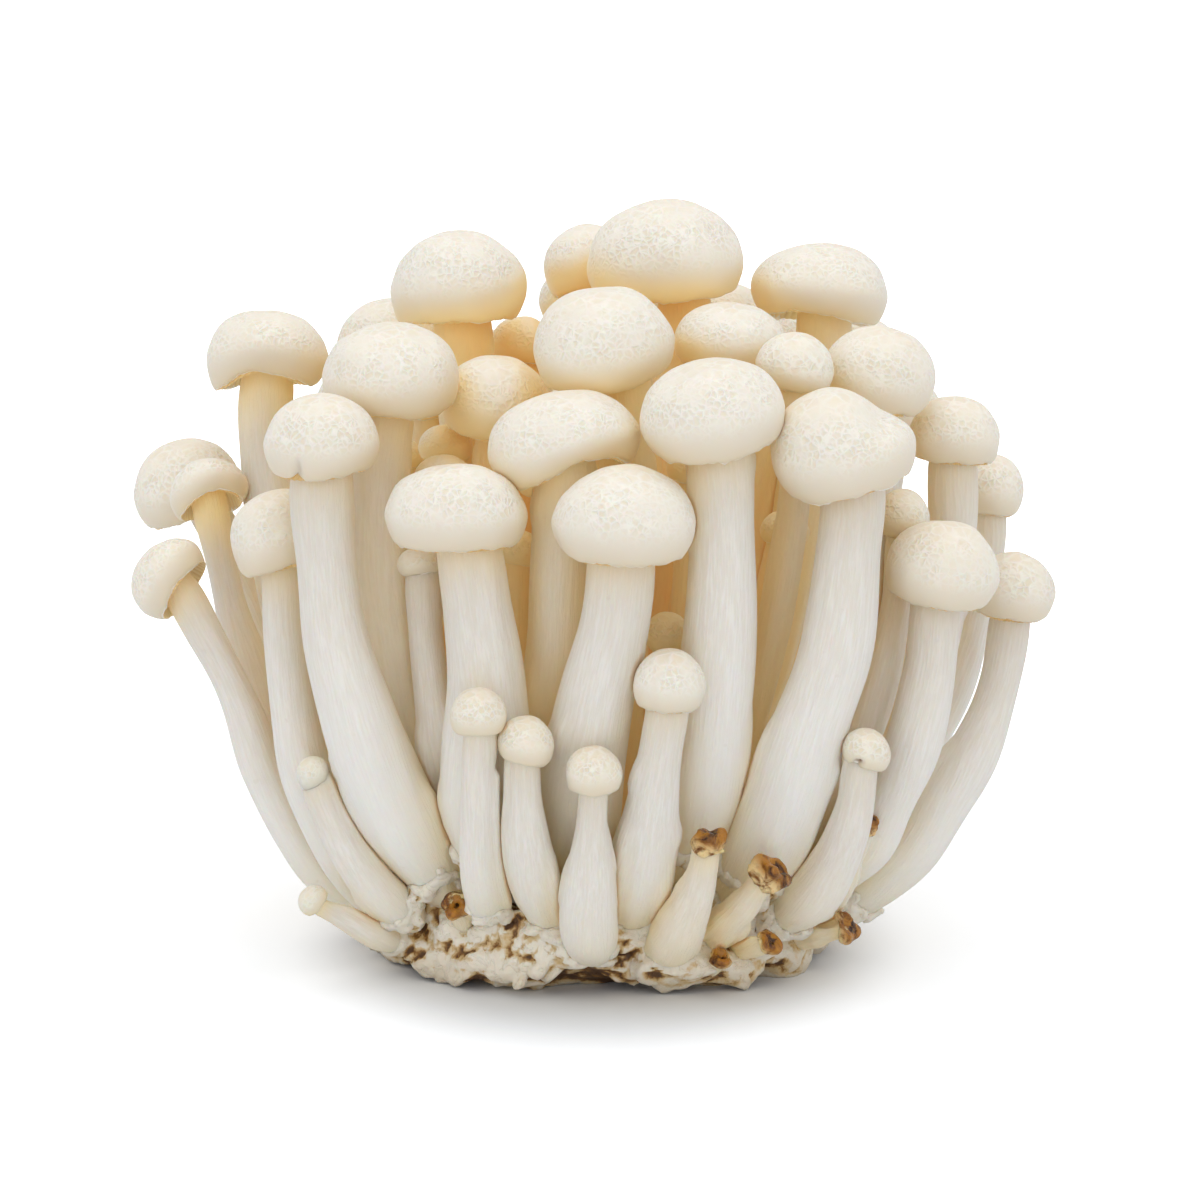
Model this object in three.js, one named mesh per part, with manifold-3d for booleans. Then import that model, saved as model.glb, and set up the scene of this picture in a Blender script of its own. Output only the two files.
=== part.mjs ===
// A bunch of white beech mushrooms (shimeji), broken off its growing block and standing on the cut butt.
// Millimetres, +Z up, the front of the bunch towards -Y, origin under the middle of the bunch.
//
// Every mushroom is one closed solid, as it grew: a stem that is lofted along a curved centreline and a cap
// that is lofted on top of it. Their feet are held in sockets in the butt, which is a separate solid.
import * as THREE from "three";
import { mergeVertices } from "three/addons/utils/BufferGeometryUtils.js";
import Module from "manifold-3d";

const wasm = await Module();
wasm.setup();

// ---------------------------------------------------------------- driving dimensions

const GAP = 0.32; // free space kept between neighbouring mushrooms
const SOCKET_GAP = 0.3; // free space between a stem's foot and the butt around it

const BUTT = {
  centre: [0, 0], // of its outline, in plan
  cutRadius: 25.5, // the flat cut face underneath
  radius: 29, // at the widest
  height: 11.5, // in the middle
  sides: 40,
};

// Where the rings of a stem lie along its centreline, from the foot (0) to the neck (1).
const STEM_RINGS = [0, 0.07, 0.2, 0.34, 0.5, 0.66, 0.83, 1];
const BELLY_AT = 0.3; // a stem is thickest here
const FOOT_TAPER = 0.78; // the end of the foot is rounded off to this share of its radius
const FOOT_ROUND = 0.35; // and bulges below its last ring by this share

// A cap's section above its rim plane, as shares of the cap's radius: [distance from the axis, height].
const CAP_RIM = [0.8, 0];
const CAP_SIDE = [
  [1.0, 0.4],
  [0.87, 0.8],
  [0.53, 1.08],
];
const CAP_TOP = 1.2;
const UNDERSIDE_RADIUS = [0.6, 0.74]; // where the gills are deepest, at the least and at the most
const UNDERSIDE_RISE = 0.04;
const NECK_CLEAR = 1.12; // the underside starts this much wider than a thick neck
const PLAIN_HOLLOW = 0.1; // how far the rim hangs below the top of the stem

// Sides of the rings: more on the large mushrooms in front than on the small and the hidden ones.
const LARGE_SIDES = 10;
const SMALL_SIDES = 8;
const LARGE_CAP = 4; // a cap of a greater radius than this is a large one

// ---------------------------------------------------------------- the mushrooms
//
// path    the stem's centreline from the foot to the neck
// stem    its radius at the foot, at the belly and at the neck
// cap     the cap's radius; the rest is optional:
//   lean     which way the cap's axis points
//   dome     height of the cap against the plain section, 1.5 for a round button
//   hollow   how far the rim hangs below the top of the stem, as a share of the radius
//   stretch  the cap's width and depth against its radius
//   droop    [share of the radius, direction in degrees]: the rim hangs lower on that side
//   arch     [share of the radius, direction, half its width in degrees]: the rim rises there
//   peak     [across, deep]: the crown lies off the axis by these shares of the radius
//   offset   [across, deep] in millimetres: the whole cap sits to one side of the stem

const CROWN = [
  {
    name: "mushroom_crown_centre",
    path: [[3, 3, 9], [5.5, 1, 28], [8.5, 2, 48], [10.3, 5, 69], [10.6, 6, 82.5]],
    stem: [2.9, 3.7, 3.1],
    cap: {
      radius: 9.7,
      lean: [-0.1, 0.02, 1],
      offset: [-1.8, 0],
      dome: 1.06,
      hollow: 0.16,
      stretch: [1, 0.92],
    },
  },
  {
    name: "mushroom_crown_centre_left",
    path: [[-1, 8, 8.5], [-1, 12, 30], [-1, 16, 55], [-0.5, 18, 80.8]],
    stem: [2.5, 2.9, 2.5],
    cap: { radius: 5.6, lean: [-0.15, 0.1, 1], dome: 1.3 },
  },
  {
    name: "mushroom_crown_back_left",
    path: [[-3, 14, 8], [-3.6, 20, 32], [-3, 25, 56], [-2.3, 28, 76.3]],
    stem: [2.3, 2.8, 2.4],
    cap: { radius: 4.9, lean: [-0.2, 0.1, 1], dome: 1.15 },
  },
  {
    name: "mushroom_crown_left",
    path: [[-6.5, 2.5, 9.5], [-10.5, 0, 28], [-13.8, 0, 48], [-16.3, 3, 67], [-16.8, 4, 79.5]],
    stem: [2.8, 3.6, 3.5],
    cap: { radius: 8.4, lean: [-0.06, 0.06, 1], offset: [-0.2, 0], dome: 1.1, hollow: 0.15 },
  },
  {
    name: "mushroom_crown_right",
    path: [[10.5, 3, 9.5], [18.5, 1, 28], [24.5, 3, 48], [27.8, 7, 65], [28.5, 8, 79.4]],
    stem: [2.9, 3.6, 3.3],
    cap: {
      radius: 8.7,
      lean: [0.03, 0.14, 1],
      offset: [-0.5, 0],
      dome: 0.9,
      hollow: 0.16,
      droop: [0.1, 0],
      arch: [0.05, 245, 45],
    },
  },
  {
    name: "mushroom_crown_front",
    path: [[1, -5.5, 10.5], [2, -12, 28], [3, -16, 46], [3.4, -17.5, 61], [2.6, -17, 74]],
    stem: [2.6, 3.3, 3.2],
    cap: { radius: 8.5, lean: [-0.14, -0.2, 1], offset: [-1.6, 0], dome: 1.07 },
  },
];

const INNER = [
  {
    name: "mushroom_inner_back_left",
    path: [[-12.5, 9, 8.5], [-18, 9, 20], [-23.5, 12.5, 39], [-26.8, 17, 58], [-26.2, 19, 71]],
    stem: [2.4, 2.9, 2.6],
    cap: { radius: 6.8, lean: [-0.1, 0.05, 1], dome: 1.1 },
  },
  {
    name: "mushroom_inner_left",
    path: [[-8.5, -3.5, 10.5], [-10, -6, 26], [-12.5, -8, 42], [-13.6, -9, 55], [-13.2, -9, 67.5]],
    stem: [2.4, 2.7, 2.6],
    cap: { radius: 6.9, lean: [0.14, -0.1, 1], offset: [-0.8, 0], dome: 1.12 },
  },
  {
    name: "mushroom_inner_left_small",
    path: [[-7, 5, 9.5], [-8, 8, 34], [-9, 11, 58], [-9.4, 12, 72.5]],
    stem: [2.1, 2.3, 2.1],
    cap: { radius: 4, lean: [0.1, 0, 1], dome: 1.15 },
  },
  {
    name: "mushroom_inner_right",
    path: [[5.5, -1.5, 9.5], [9, -5, 27], [12, -6, 45], [15, -7, 60], [16.2, -7, 74.8]],
    stem: [2.6, 3.2, 3],
    cap: { radius: 7, lean: [0.05, -0.05, 1], dome: 0.9 },
  },
  {
    name: "mushroom_inner_right_small",
    path: [[12, -5, 10.5], [18, -12, 28], [22, -17, 46], [24, -19, 61], [24.2, -18.5, 73.8]],
    stem: [2, 2.2, 1.9],
    cap: { radius: 4.7, lean: [0.12, -0.2, 1], offset: [-0.4, 0], dome: 1.05, droop: [0.15, 0] },
  },
  {
    name: "mushroom_inner_low_left",
    path: [[-7.5, -8, 10.5], [-9, -13, 31], [-9.2, -16, 51.5]],
    stem: [1.5, 1.8, 1.4],
    cap: { radius: 2.6, lean: [0.1, -0.2, 1], dome: 1.25 },
  },
  {
    name: "mushroom_inner_low_right",
    path: [[6, -10.5, 10.5], [7.5, -19, 27], [8.5, -24.5, 42.5]],
    stem: [1.7, 2, 1.5],
    cap: { radius: 2.7, lean: [0, -0.2, 1], dome: 1.3 },
  },
];

const FRONT = [
  {
    name: "mushroom_front_left",
    path: [[-18, -16, 9.5], [-23, -25, 19], [-28, -30, 32], [-31.5, -29, 46], [-32.7, -26, 65]],
    stem: [3.3, 4.8, 3.4],
    cap: { radius: 6.8, lean: [0, -0.08, 1], dome: 1.08, droop: [0.1, 215] },
  },
  {
    name: "mushroom_front_centre_left",
    path: [[-13, -18.5, 10.5], [-14.6, -30.5, 24], [-13.9, -35, 37], [-14.7, -36, 47], [-15.9, -35, 56.8]],
    stem: [3.4, 5.6, 3.7],
    cap: { radius: 8.3, lean: [0, 0.02, 1], offset: [-1.4, 0], dome: 0.96 },
  },
  {
    name: "mushroom_front_centre",
    path: [[-2.5, -19.5, 9], [-2, -31, 24], [0.2, -37, 36], [2.6, -38.5, 45], [3.9, -38, 57]],
    stem: [3.2, 5, 3.9],
    cap: { radius: 8.4, lean: [0.02, -0.08, 1], offset: [0.4, 0], dome: 1 },
  },
  {
    name: "mushroom_front_bean",
    path: [[-5.5, -11, 11], [-6, -22, 26], [-4.4, -27, 41], [-3.6, -28.5, 53], [-3.1, -29, 65.1]],
    stem: [2.9, 4.2, 3.6],
    cap: {
      radius: 8.8,
      lean: [-0.08, -0.1, 1],
      dome: 0.84,
      stretch: [1.04, 0.88],
      droop: [0.22, 195],
      arch: [0.26, 296, 42],
    },
  },
  {
    name: "mushroom_front_centre_right",
    path: [[11.5, -17, 10.5], [14.5, -30, 26], [15.3, -35, 39], [15.9, -35.5, 53], [15.4, -33, 68]],
    stem: [3.1, 4.9, 3.7],
    cap: { radius: 8.5, lean: [-0.14, -0.1, 1], dome: 0.98, droop: [0.08, 240] },
  },
  {
    name: "mushroom_front_right",
    path: [[15, -18, 8.5], [20, -28, 20], [25, -34, 34], [28.5, -34, 48], [28.8, -31, 64.5]],
    stem: [3.2, 4.9, 3.8],
    cap: { radius: 8.6, lean: [-0.2, -0.1, 1], dome: 1.04, peak: [-0.2, 0], droop: [0.08, 235] },
  },
  {
    name: "mushroom_front_tucked_left",
    path: [[-14.5, -13.5, 10.5], [-17.4, -23, 23], [-19.5, -27.5, 35], [-20.3, -27, 43.5], [-20.7, -26, 51.2]],
    stem: [2, 2.7, 2],
    cap: { radius: 2.9, lean: [-0.1, 0, 1], dome: 0.9 },
  },
];

const SHOULDERS = [
  {
    name: "mushroom_shoulder_far_left",
    path: [[-20.5, 2.5, 6.5], [-29, -1, 19.5], [-38, 1, 41], [-41.5, 6, 59], [-41.5, 8, 71.8]],
    stem: [2.6, 3.3, 3.1],
    cap: {
      radius: 7.7,
      lean: [0.05, 0.1, 1],
      dome: 1.02,
      hollow: 0.26,
      droop: [0.2, 185],
      arch: [0.3, 268, 38],
    },
  },
  {
    name: "mushroom_shoulder_left",
    path: [[-15, -8.5, 10], [-21.5, -19, 29], [-24.8, -20, 45], [-25.8, -17.5, 57], [-24.6, -16, 70.5]],
    stem: [2.9, 3.9, 3.7],
    cap: { radius: 8.4, lean: [0.02, -0.12, 1], offset: [0.8, 0], dome: 1 },
  },
  {
    name: "mushroom_shoulder_right",
    path: [[17, -5, 9], [27, -13, 23.5], [33, -17, 44], [35, -14, 58], [35, -12.5, 70.5]],
    stem: [2.5, 3.2, 2.9],
    cap: { radius: 6.8, lean: [0.1, -0.1, 1], dome: 1.18 },
  },
  {
    name: "mushroom_left_tucked",
    path: [[-22, -11.5, 4], [-29.5, -20, 14], [-34.8, -22, 26], [-36.8, -20, 37], [-37.6, -17.5, 51.8]],
    stem: [2.4, 3.2, 2.8],
    cap: { radius: 6.1, lean: [-0.2, -0.03, 1], dome: 1.2, droop: [0.1, 180] },
  },
  {
    name: "mushroom_left_upper",
    path: [[-25, 2.5, 4], [-33, 1.5, 14], [-39, 5, 30], [-43.5, 9.5, 42], [-50, 13, 54]],
    stem: [2.4, 3.1, 2.6],
    cap: { radius: 7, lean: [-0.3, 0, 1], offset: [-1.4, 0], dome: 1.08, droop: [0.15, 200] },
  },
  {
    name: "mushroom_left_open",
    path: [[-24.5, -3.5, 4], [-33.5, -6, 13.5], [-40, -4, 26.5], [-45, -1, 40], [-48.3, 1, 57.5]],
    stem: [2.1, 2.8, 1.9],
    cap: { radius: 5, lean: [-0.2, 0.45, 1], dome: 1, hollow: 0.5, droop: [0.2, 195], arch: [0.25, 280, 50] },
  },
  {
    name: "mushroom_left_low",
    path: [[-24, -8, 4.5], [-33, -11.5, 11], [-40.4, -12, 24], [-45.2, -10.5, 36], [-52.6, -9, 48]],
    stem: [2.1, 2.9, 2.1],
    cap: { radius: 5.3, lean: [-0.95, 0.35, 0.7], dome: 1.05, hollow: 0.5, droop: [0.1, 180] },
  },
  {
    name: "mushroom_right_upper",
    path: [[23, -5.5, 7], [34.5, -12, 20.5], [41, -12, 37], [43.8, -8, 51], [44, -6, 62.7]],
    stem: [2.4, 3.1, 2.8],
    cap: { radius: 5.6, lean: [0.06, -0.02, 1], dome: 1.16 },
  },
  {
    name: "mushroom_right_back",
    path: [[26.5, 4, 5.5], [39.5, 0.5, 22], [45.5, 2, 34], [48.5, 5, 44], [49, 7, 54]],
    stem: [2.1, 2.6, 2.3],
    cap: { radius: 4.6, lean: [0.1, 0.05, 1], dome: 1.35 },
  },
  {
    name: "mushroom_right_tucked",
    path: [[20.5, -11.5, 8.5], [29.5, -20, 23.5], [33.8, -22, 35], [36, -20, 44.5], [37.2, -19, 55]],
    stem: [1.9, 2.4, 1.9],
    cap: { radius: 3.2, lean: [0.05, -0.1, 1], dome: 1.35 },
  },
  {
    name: "mushroom_right_front",
    path: [[22.5, -13.5, 6.5], [32, -23.5, 18.5], [36.5, -28, 30], [38.8, -27, 38.5], [39.6, -25.5, 49]],
    stem: [2.5, 3.6, 2.9],
    cap: { radius: 6.7, lean: [0.18, -0.1, 1], dome: 1.18 },
  },
  {
    name: "mushroom_right_low",
    path: [[27, -6.5, 4.5], [38, -12, 13], [44.5, -12.5, 23.5], [49, -10.5, 32.5], [51.1, -8.5, 43.8]],
    stem: [2.6, 3.7, 2.4],
    cap: { radius: 5.1, lean: [0.1, -0.05, 1], dome: 1.28 },
  },
];

const BACK = [
  {
    name: "mushroom_back_right_high",
    path: [[6, 8.5, 9], [12, 14, 34], [16, 20, 58], [17, 23, 74]],
    stem: [2.7, 3.8, 2.6],
    cap: { radius: 5.3, lean: [0, 0.05, 1], dome: 1.1 },
  },
  {
    name: "mushroom_back_right_inner",
    path: [[13, 9, 9], [24, 14, 31], [31, 18, 55], [33.5, 21, 70]],
    stem: [2.8, 3.9, 2.7],
    cap: { radius: 6, lean: [0.12, 0.1, 1] },
  },
  {
    name: "mushroom_back_far_right",
    path: [[25, 10, 5], [36, 12, 18], [43, 15, 33], [45.5, 17, 44]],
    stem: [2.7, 4.2, 2.6],
    cap: { radius: 6.4, lean: [0.2, 0.15, 1], dome: 1.05 },
  },
  {
    name: "mushroom_back_left_high",
    path: [[-10, 15, 9], [-19, 21, 31], [-26.5, 29, 50], [-29.5, 33, 61]],
    stem: [2.9, 4.2, 2.9],
    cap: { radius: 7.2, lean: [-0.12, 0.1, 1] },
  },
  {
    name: "mushroom_back_centre_high",
    path: [[-4.5, 20, 8.5], [-8, 28, 31], [-11.5, 33, 51], [-13, 36, 64]],
    stem: [3.1, 4.4, 3.2],
    cap: { radius: 8, lean: [-0.08, 0.15, 1] },
  },
  {
    name: "mushroom_back_centre",
    path: [[3, 17, 9], [4, 28, 34], [5, 36, 58], [5.5, 40, 74]],
    stem: [3, 4.4, 3],
    cap: { radius: 7.6, lean: [0.05, 0.18, 1], dome: 1.05 },
  },
  {
    name: "mushroom_back_right_centre",
    path: [[9.5, 16, 9], [15, 27, 33], [20, 35, 55], [22, 39, 69]],
    stem: [3.1, 4.5, 3.2],
    cap: { radius: 8.1, lean: [0.1, 0.18, 1] },
  },
  {
    name: "mushroom_back_right",
    path: [[18, 13, 8], [28, 22, 28], [35.5, 30, 47], [38, 33, 60]],
    stem: [2.9, 4.3, 2.9],
    cap: { radius: 7, lean: [0.2, 0.15, 1], dome: 1.08 },
  },
  {
    name: "mushroom_back_far_left",
    path: [[-18, 10, 8], [-29, 17, 20], [-36.5, 23, 33], [-39, 27, 44]],
    stem: [2.8, 4.3, 2.8],
    cap: { radius: 6.8, lean: [-0.2, 0.15, 1] },
  },
  {
    name: "mushroom_back_left",
    path: [[-14, 18.5, 8], [-22, 31, 25], [-28, 39, 42], [-30, 43, 56]],
    stem: [3, 4.8, 3.2],
    cap: { radius: 7.6, lean: [-0.12, 0.2, 1], dome: 1.05 },
  },
  {
    name: "mushroom_back_low_left",
    path: [[-4, 24.5, 6], [-7, 37, 22], [-9.5, 44, 42], [-10, 47.5, 57]],
    stem: [3.1, 5.2, 3.3],
    cap: { radius: 7.7, lean: [-0.04, 0.22, 1] },
  },
  {
    name: "mushroom_back_low_centre",
    path: [[6, 24, 6.5], [9, 38, 21], [11, 46, 39], [11.5, 49, 53]],
    stem: [3.1, 5.5, 3.4],
    cap: { radius: 8.2, lean: [0.06, 0.2, 1], dome: 1.04 },
  },
  {
    name: "mushroom_back_low_right",
    path: [[15, 20.5, 7], [24, 33, 21], [30, 41, 34], [32, 44, 46]],
    stem: [2.8, 4.4, 2.8],
    cap: { radius: 6.6, lean: [0.16, 0.18, 1], dome: 1.1 },
  },
];

const BUTTONS = [
  {
    name: "button_left",
    path: [[-13, -23.5, 9.5], [-13.7, -34, 20.5], [-13.6, -38, 28], [-13.2, -38.5, 36.3]],
    stem: [2, 2.5, 1.85],
    cap: { radius: 3.3, lean: [0, -0.1, 1], dome: 1.32 },
  },
  {
    name: "button_centre_left",
    path: [[-5.5, -24, 7], [-7.5, -35.5, 17], [-8.4, -40.5, 25], [-8.5, -41, 32.3]],
    stem: [2.1, 3.1, 1.8],
    cap: { radius: 3.3, lean: [0.1, -0.1, 1], dome: 1.25 },
  },
  {
    name: "button_centre",
    path: [[-0.6, -24.5, 4.5], [-0.7, -34.5, 11], [-0.6, -39, 20], [-0.4, -40, 29.6]],
    stem: [2.3, 3.6, 1.8],
    cap: { radius: 3.3, lean: [0, -0.1, 1], dome: 1.3 },
  },
  {
    name: "button_tall",
    path: [[5, -22.5, 6.5], [6, -34.5, 17], [7.5, -40, 29], [8.5, -40.5, 38.6]],
    stem: [2.5, 4.1, 2.4],
    cap: { radius: 4.3, lean: [0.08, -0.1, 1], dome: 1.28, peak: [-0.06, 0] },
  },
  {
    name: "button_right",
    path: [[21, -19, 6], [26.6, -28, 14], [29.3, -33.5, 23], [29.8, -34.5, 31]],
    stem: [2.2, 3.1, 1.6],
    cap: { radius: 2.9, lean: [0.2, -0.15, 1], dome: 1.15, droop: [0.14, 0] },
  },
  {
    name: "button_left_low",
    path: [[-22, -17.5, 7], [-28, -26, 16], [-31.2, -28, 21.5], [-33.4, -27.5, 27]],
    stem: [1.9, 2.8, 1.3],
    cap: { radius: 2.1, lean: [-0.35, -0.1, 1], dome: 1.25, droop: [0.25, 200] },
  },
  {
    name: "button_far_left",
    path: [[-22.5, -18, 4], [-27.5, -23.5, 7.5], [-33, -26.5, 11.2]],
    stem: [1.4, 1.8, 1],
    cap: { radius: 1.9, lean: [-0.9, -0.15, 0.75], dome: 1.1 },
  },
];

// Young mushrooms that stopped growing: their small caps have dried brown.
const DRIED = [
  {
    name: "dried_button_centre",
    path: [[6.2, -24.5, 4.5], [8.8, -32.5, 9.5], [11.5, -37.5, 16], [12.6, -38.5, 21.2]],
    stem: [2.4, 3.1, 1.5],
    cap: { radius: 2.3, lean: [0.3, -0.3, 1], dome: 1, droop: [0.2, 180] },
  },
  {
    name: "dried_button_right",
    path: [[14, -23, 5], [17.4, -31.5, 11], [20.5, -36, 16.4]],
    stem: [1.9, 2.4, 1.5],
    cap: { radius: 2.4, lean: [0.75, -0.3, 0.75], dome: 1.05, droop: [0.2, 180] },
  },
  {
    name: "dried_button_side",
    path: [[25, -15.5, 5.5], [29.8, -23.4, 12.5], [32.4, -27, 20.6]],
    stem: [1.1, 1.3, 0.9],
    cap: { radius: 1.5, lean: [0.2, -0.3, 1], dome: 1.2 },
  },
  {
    name: "dried_button_low_right",
    path: [[23.5, -15, 3.8], [28, -21, 6], [30.2, -23, 7.4]],
    stem: [1.2, 1.4, 1],
    cap: { radius: 2.2, lean: [0.95, -0.4, 0.2], dome: 0.75 },
  },
  {
    name: "dried_button_low_centre",
    path: [[15.5, -22.5, 4.2], [18, -27.5, 5.6], [19.7, -29.5, 6.7]],
    stem: [1.1, 1.3, 1],
    cap: { radius: 1.5, lean: [0.8, -0.4, 0.5], dome: 0.9 },
  },
  {
    name: "dried_button_base",
    path: [[12.5, -24, 2.8], [14.2, -28, 3.8], [15.1, -30.2, 5]],
    stem: [1.2, 1.4, 1],
    cap: { radius: 1.4, lean: [0.25, -0.7, 0.75], dome: 0.9 },
  },
  {
    name: "dried_button_left",
    path: [[-15.2, -21.5, 6], [-15.8, -25, 9], [-16, -27, 10.7]],
    stem: [1.1, 1.4, 1.1],
    cap: { radius: 1.6, lean: [-0.1, -0.9, 0.45], dome: 0.9 },
  },
];

// ---------------------------------------------------------------- small helpers

const vector = ([x, y, z]) => new THREE.Vector3(x, y, z);
const mix = THREE.MathUtils.lerp;
const smooth = (t) => THREE.MathUtils.smoothstep(t, 0, 1);
const ACROSS = new THREE.Vector3(1, 0, 0);
const DEEP = new THREE.Vector3(0, 1, 0);

// Two directions square to an axis, the first as near to "across" as it can be.
function squareTo(axis, across) {
  const side = across.clone().addScaledVector(axis, -across.dot(axis)).normalize();
  return [side, new THREE.Vector3().crossVectors(axis, side)];
}

// A level direction to measure turns from, clear of the axis.
function acrossFor(axis) {
  return Math.abs(axis.x) > 0.8 ? DEEP : ACROSS;
}

function stemRadius([foot, belly, neck], t) {
  return t < BELLY_AT
    ? mix(foot, belly, smooth(t / BELLY_AT))
    : mix(belly, neck, smooth((t - BELLY_AT) / (1 - BELLY_AT)));
}

// A closed skin over a pole, rings of points and another pole.
function skin(firstPole, rings, lastPole) {
  const sides = rings[0].length;
  const points = [firstPole, ...rings.flat(), lastPole];
  const last = points.length - 1;
  const at = (ring, i) => 1 + ring * sides + (i % sides);
  const faces = [];
  for (let i = 0; i < sides; i++) {
    faces.push(0, at(0, i + 1), at(0, i));
    faces.push(last, at(rings.length - 1, i), at(rings.length - 1, i + 1));
    for (let ring = 0; ring + 1 < rings.length; ring++) {
      faces.push(at(ring, i), at(ring, i + 1), at(ring + 1, i));
      faces.push(at(ring, i + 1), at(ring + 1, i + 1), at(ring + 1, i));
    }
  }
  const geometry = new THREE.BufferGeometry().setFromPoints(points).setIndex(faces);
  geometry.computeVertexNormals();
  return geometry;
}

// A function that places a point of a cap: a section point [out, up], in shares of the cap's radius, at a
// turn about the cap's axis.
function capPlacer(cap, axis, neck) {
  const { radius, dome = 1, hollow = PLAIN_HOLLOW, stretch = [1, 1] } = cap;
  const { droop = [0, 0], arch = [0, 0, 1], peak = [0, 0], offset = [0, 0] } = cap;
  const [side, deep] = squareTo(axis, acrossFor(axis));
  const [droopTurn, archTurn, archWidth] = [droop[1], arch[1], arch[2]].map(THREE.MathUtils.degToRad);
  return ([out, up], turn) => {
    const lift = (up / CAP_TOP) ** 2; // the crown moves with the peak, the rim stays
    const apart = Math.acos(Math.cos(turn - archTurn)) / archWidth;
    const bend = droop[0] * Math.max(0, Math.cos(turn - droopTurn)) - arch[0] * Math.exp(-(apart ** 2));
    const hang = bend * (1 - up / CAP_TOP);
    return neck
      .clone()
      .addScaledVector(side, offset[0] + radius * (out * stretch[0] * Math.cos(turn) + peak[0] * lift))
      .addScaledVector(deep, offset[1] + radius * (out * stretch[1] * Math.sin(turn) + peak[1] * lift))
      .addScaledVector(axis, radius * (up * dome - hang * out - hollow));
  };
}

// ---------------------------------------------------------------- growing room
//
// The mushrooms press each other aside as they grow. Each one is stood in for by balls: a row of them
// along the stem and a cluster in the cap. Balls that come too near push their stems apart, and every
// stem springs back towards the path that it was given.

const NODES = 18; // balls along a stem
const ROUNDS = 600;
const PUSH = 0.45; // share of an overlap that is cleared in one round
const SPRING = 0.002; // share of the way back to its own path that a stem takes in one round
const STIFFNESS = 0.5; // how much of a neighbour's displacement a point of a stem takes on
const HIDDEN_YIELDS = 3; // the inner and back mushrooms give way this much more than the front ones
const LARGEST_BALL = 6; // with room to spare

function capAxis(mushroom) {
  return vector(mushroom.cap.lean ?? [0, 0, 1]).normalize();
}

function stemCurve(points) {
  return new THREE.CatmullRomCurve3(points, false, "centripetal");
}

// The balls of a cap, as offsets from the neck: two rings and one at the crown.
const CAP_BALLS = [
  { count: 8, out: 0.5, up: 0.36, radius: 0.54 },
  { count: 6, out: 0.3, up: 0.7, radius: 0.44 },
  { count: 1, out: 0, up: 0.75, radius: 0.46 },
];

function capBalls({ cap }, axis) {
  const place = capPlacer(cap, axis, new THREE.Vector3());
  return CAP_BALLS.flatMap(({ count, out, up, radius }) =>
    Array.from({ length: count }, (_, i) => ({
      offset: place([out, up], (2 * Math.PI * i) / count),
      radius: radius * cap.radius,
    })),
  );
}

function plant(mushroom, yields, sides) {
  const path = stemCurve(mushroom.path.map(vector)).getSpacedPoints(NODES - 1);
  const balls = path.map((at, i) => ({
    home: at.clone(),
    at,
    radius: stemRadius(mushroom.stem, i / (NODES - 1)),
    push: new THREE.Vector3(),
  }));
  const neck = path[NODES - 1];
  for (const { offset, radius } of capBalls(mushroom, capAxis(mushroom))) {
    balls.push({ offset, radius, at: neck.clone().add(offset), push: new THREE.Vector3() });
  }
  return { mushroom, balls, stem: balls.slice(0, NODES), cap: balls.slice(NODES), yields, sides };
}

function pushApart(a, b) {
  const around = new THREE.Box3().setFromPoints(a.balls.map((ball) => ball.at));
  around.expandByScalar(2 * LARGEST_BALL);
  if (!b.balls.some((ball) => around.containsPoint(ball.at))) return;
  const between = new THREE.Vector3();
  const share = a.yields / (a.yields + b.yields);
  for (const p of a.balls) {
    for (const q of b.balls) {
      between.subVectors(p.at, q.at);
      const apart = between.length();
      const needed = p.radius + q.radius + GAP;
      if (apart >= needed) continue;
      between.multiplyScalar((PUSH * (needed - apart)) / apart);
      p.push.addScaledVector(between, share);
      q.push.addScaledVector(between, share - 1);
    }
  }
}

// Moves a stem by the pushes on it, smoothed along its length, with a little spring back to its own path.
function give(plantling) {
  const { stem, cap } = plantling;
  const head = new THREE.Vector3();
  cap.forEach((ball) => head.add(ball.push));
  const pressed = cap.filter((ball) => ball.push.lengthSq() > 0).length;
  if (pressed) stem[NODES - 1].push.add(head.divideScalar(pressed));
  const moved = stem.map((ball) => ball.at.clone().sub(ball.home).add(ball.push).multiplyScalar(1 - SPRING));
  const eased = moved.map((move, i) => {
    const mean = moved[Math.max(i - 1, 0)].clone().add(moved[Math.min(i + 1, NODES - 1)]);
    return move.clone().lerp(mean.multiplyScalar(0.5), STIFFNESS);
  });
  eased[0].z = 0; // a foot slides on the butt and stays on it
  stem.forEach((ball, i) => ball.at.copy(ball.home).add(eased[i]));
  cap.forEach((ball) => ball.at.copy(stem[NODES - 1].at).add(ball.offset));
  plantling.balls.forEach((ball) => ball.push.set(0, 0, 0));
}

function grow(mushrooms) {
  for (let round = 0; round < ROUNDS; round++) {
    mushrooms.forEach((a, i) => mushrooms.slice(i + 1).forEach((b) => pushApart(a, b)));
    mushrooms.forEach(give);
  }
}

// ---------------------------------------------------------------- one mushroom

// The last ring is square to the cap's axis, so that the neck meets the cap's underside squarely.
function stemRings(curve, radii, sides, axis) {
  const across = acrossFor(axis);
  return STEM_RINGS.map((t) => {
    const centre = curve.getPointAt(t);
    const [side, deep] = squareTo(t === 1 ? axis : curve.getTangentAt(t), across);
    const radius = stemRadius(radii, t) * (t === 0 ? FOOT_TAPER : 1);
    return Array.from({ length: sides }, (_, i) => {
      const turn = (2 * Math.PI * i) / sides;
      return centre
        .clone()
        .addScaledVector(side, radius * Math.cos(turn))
        .addScaledVector(deep, radius * Math.sin(turn));
    });
  });
}

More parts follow.
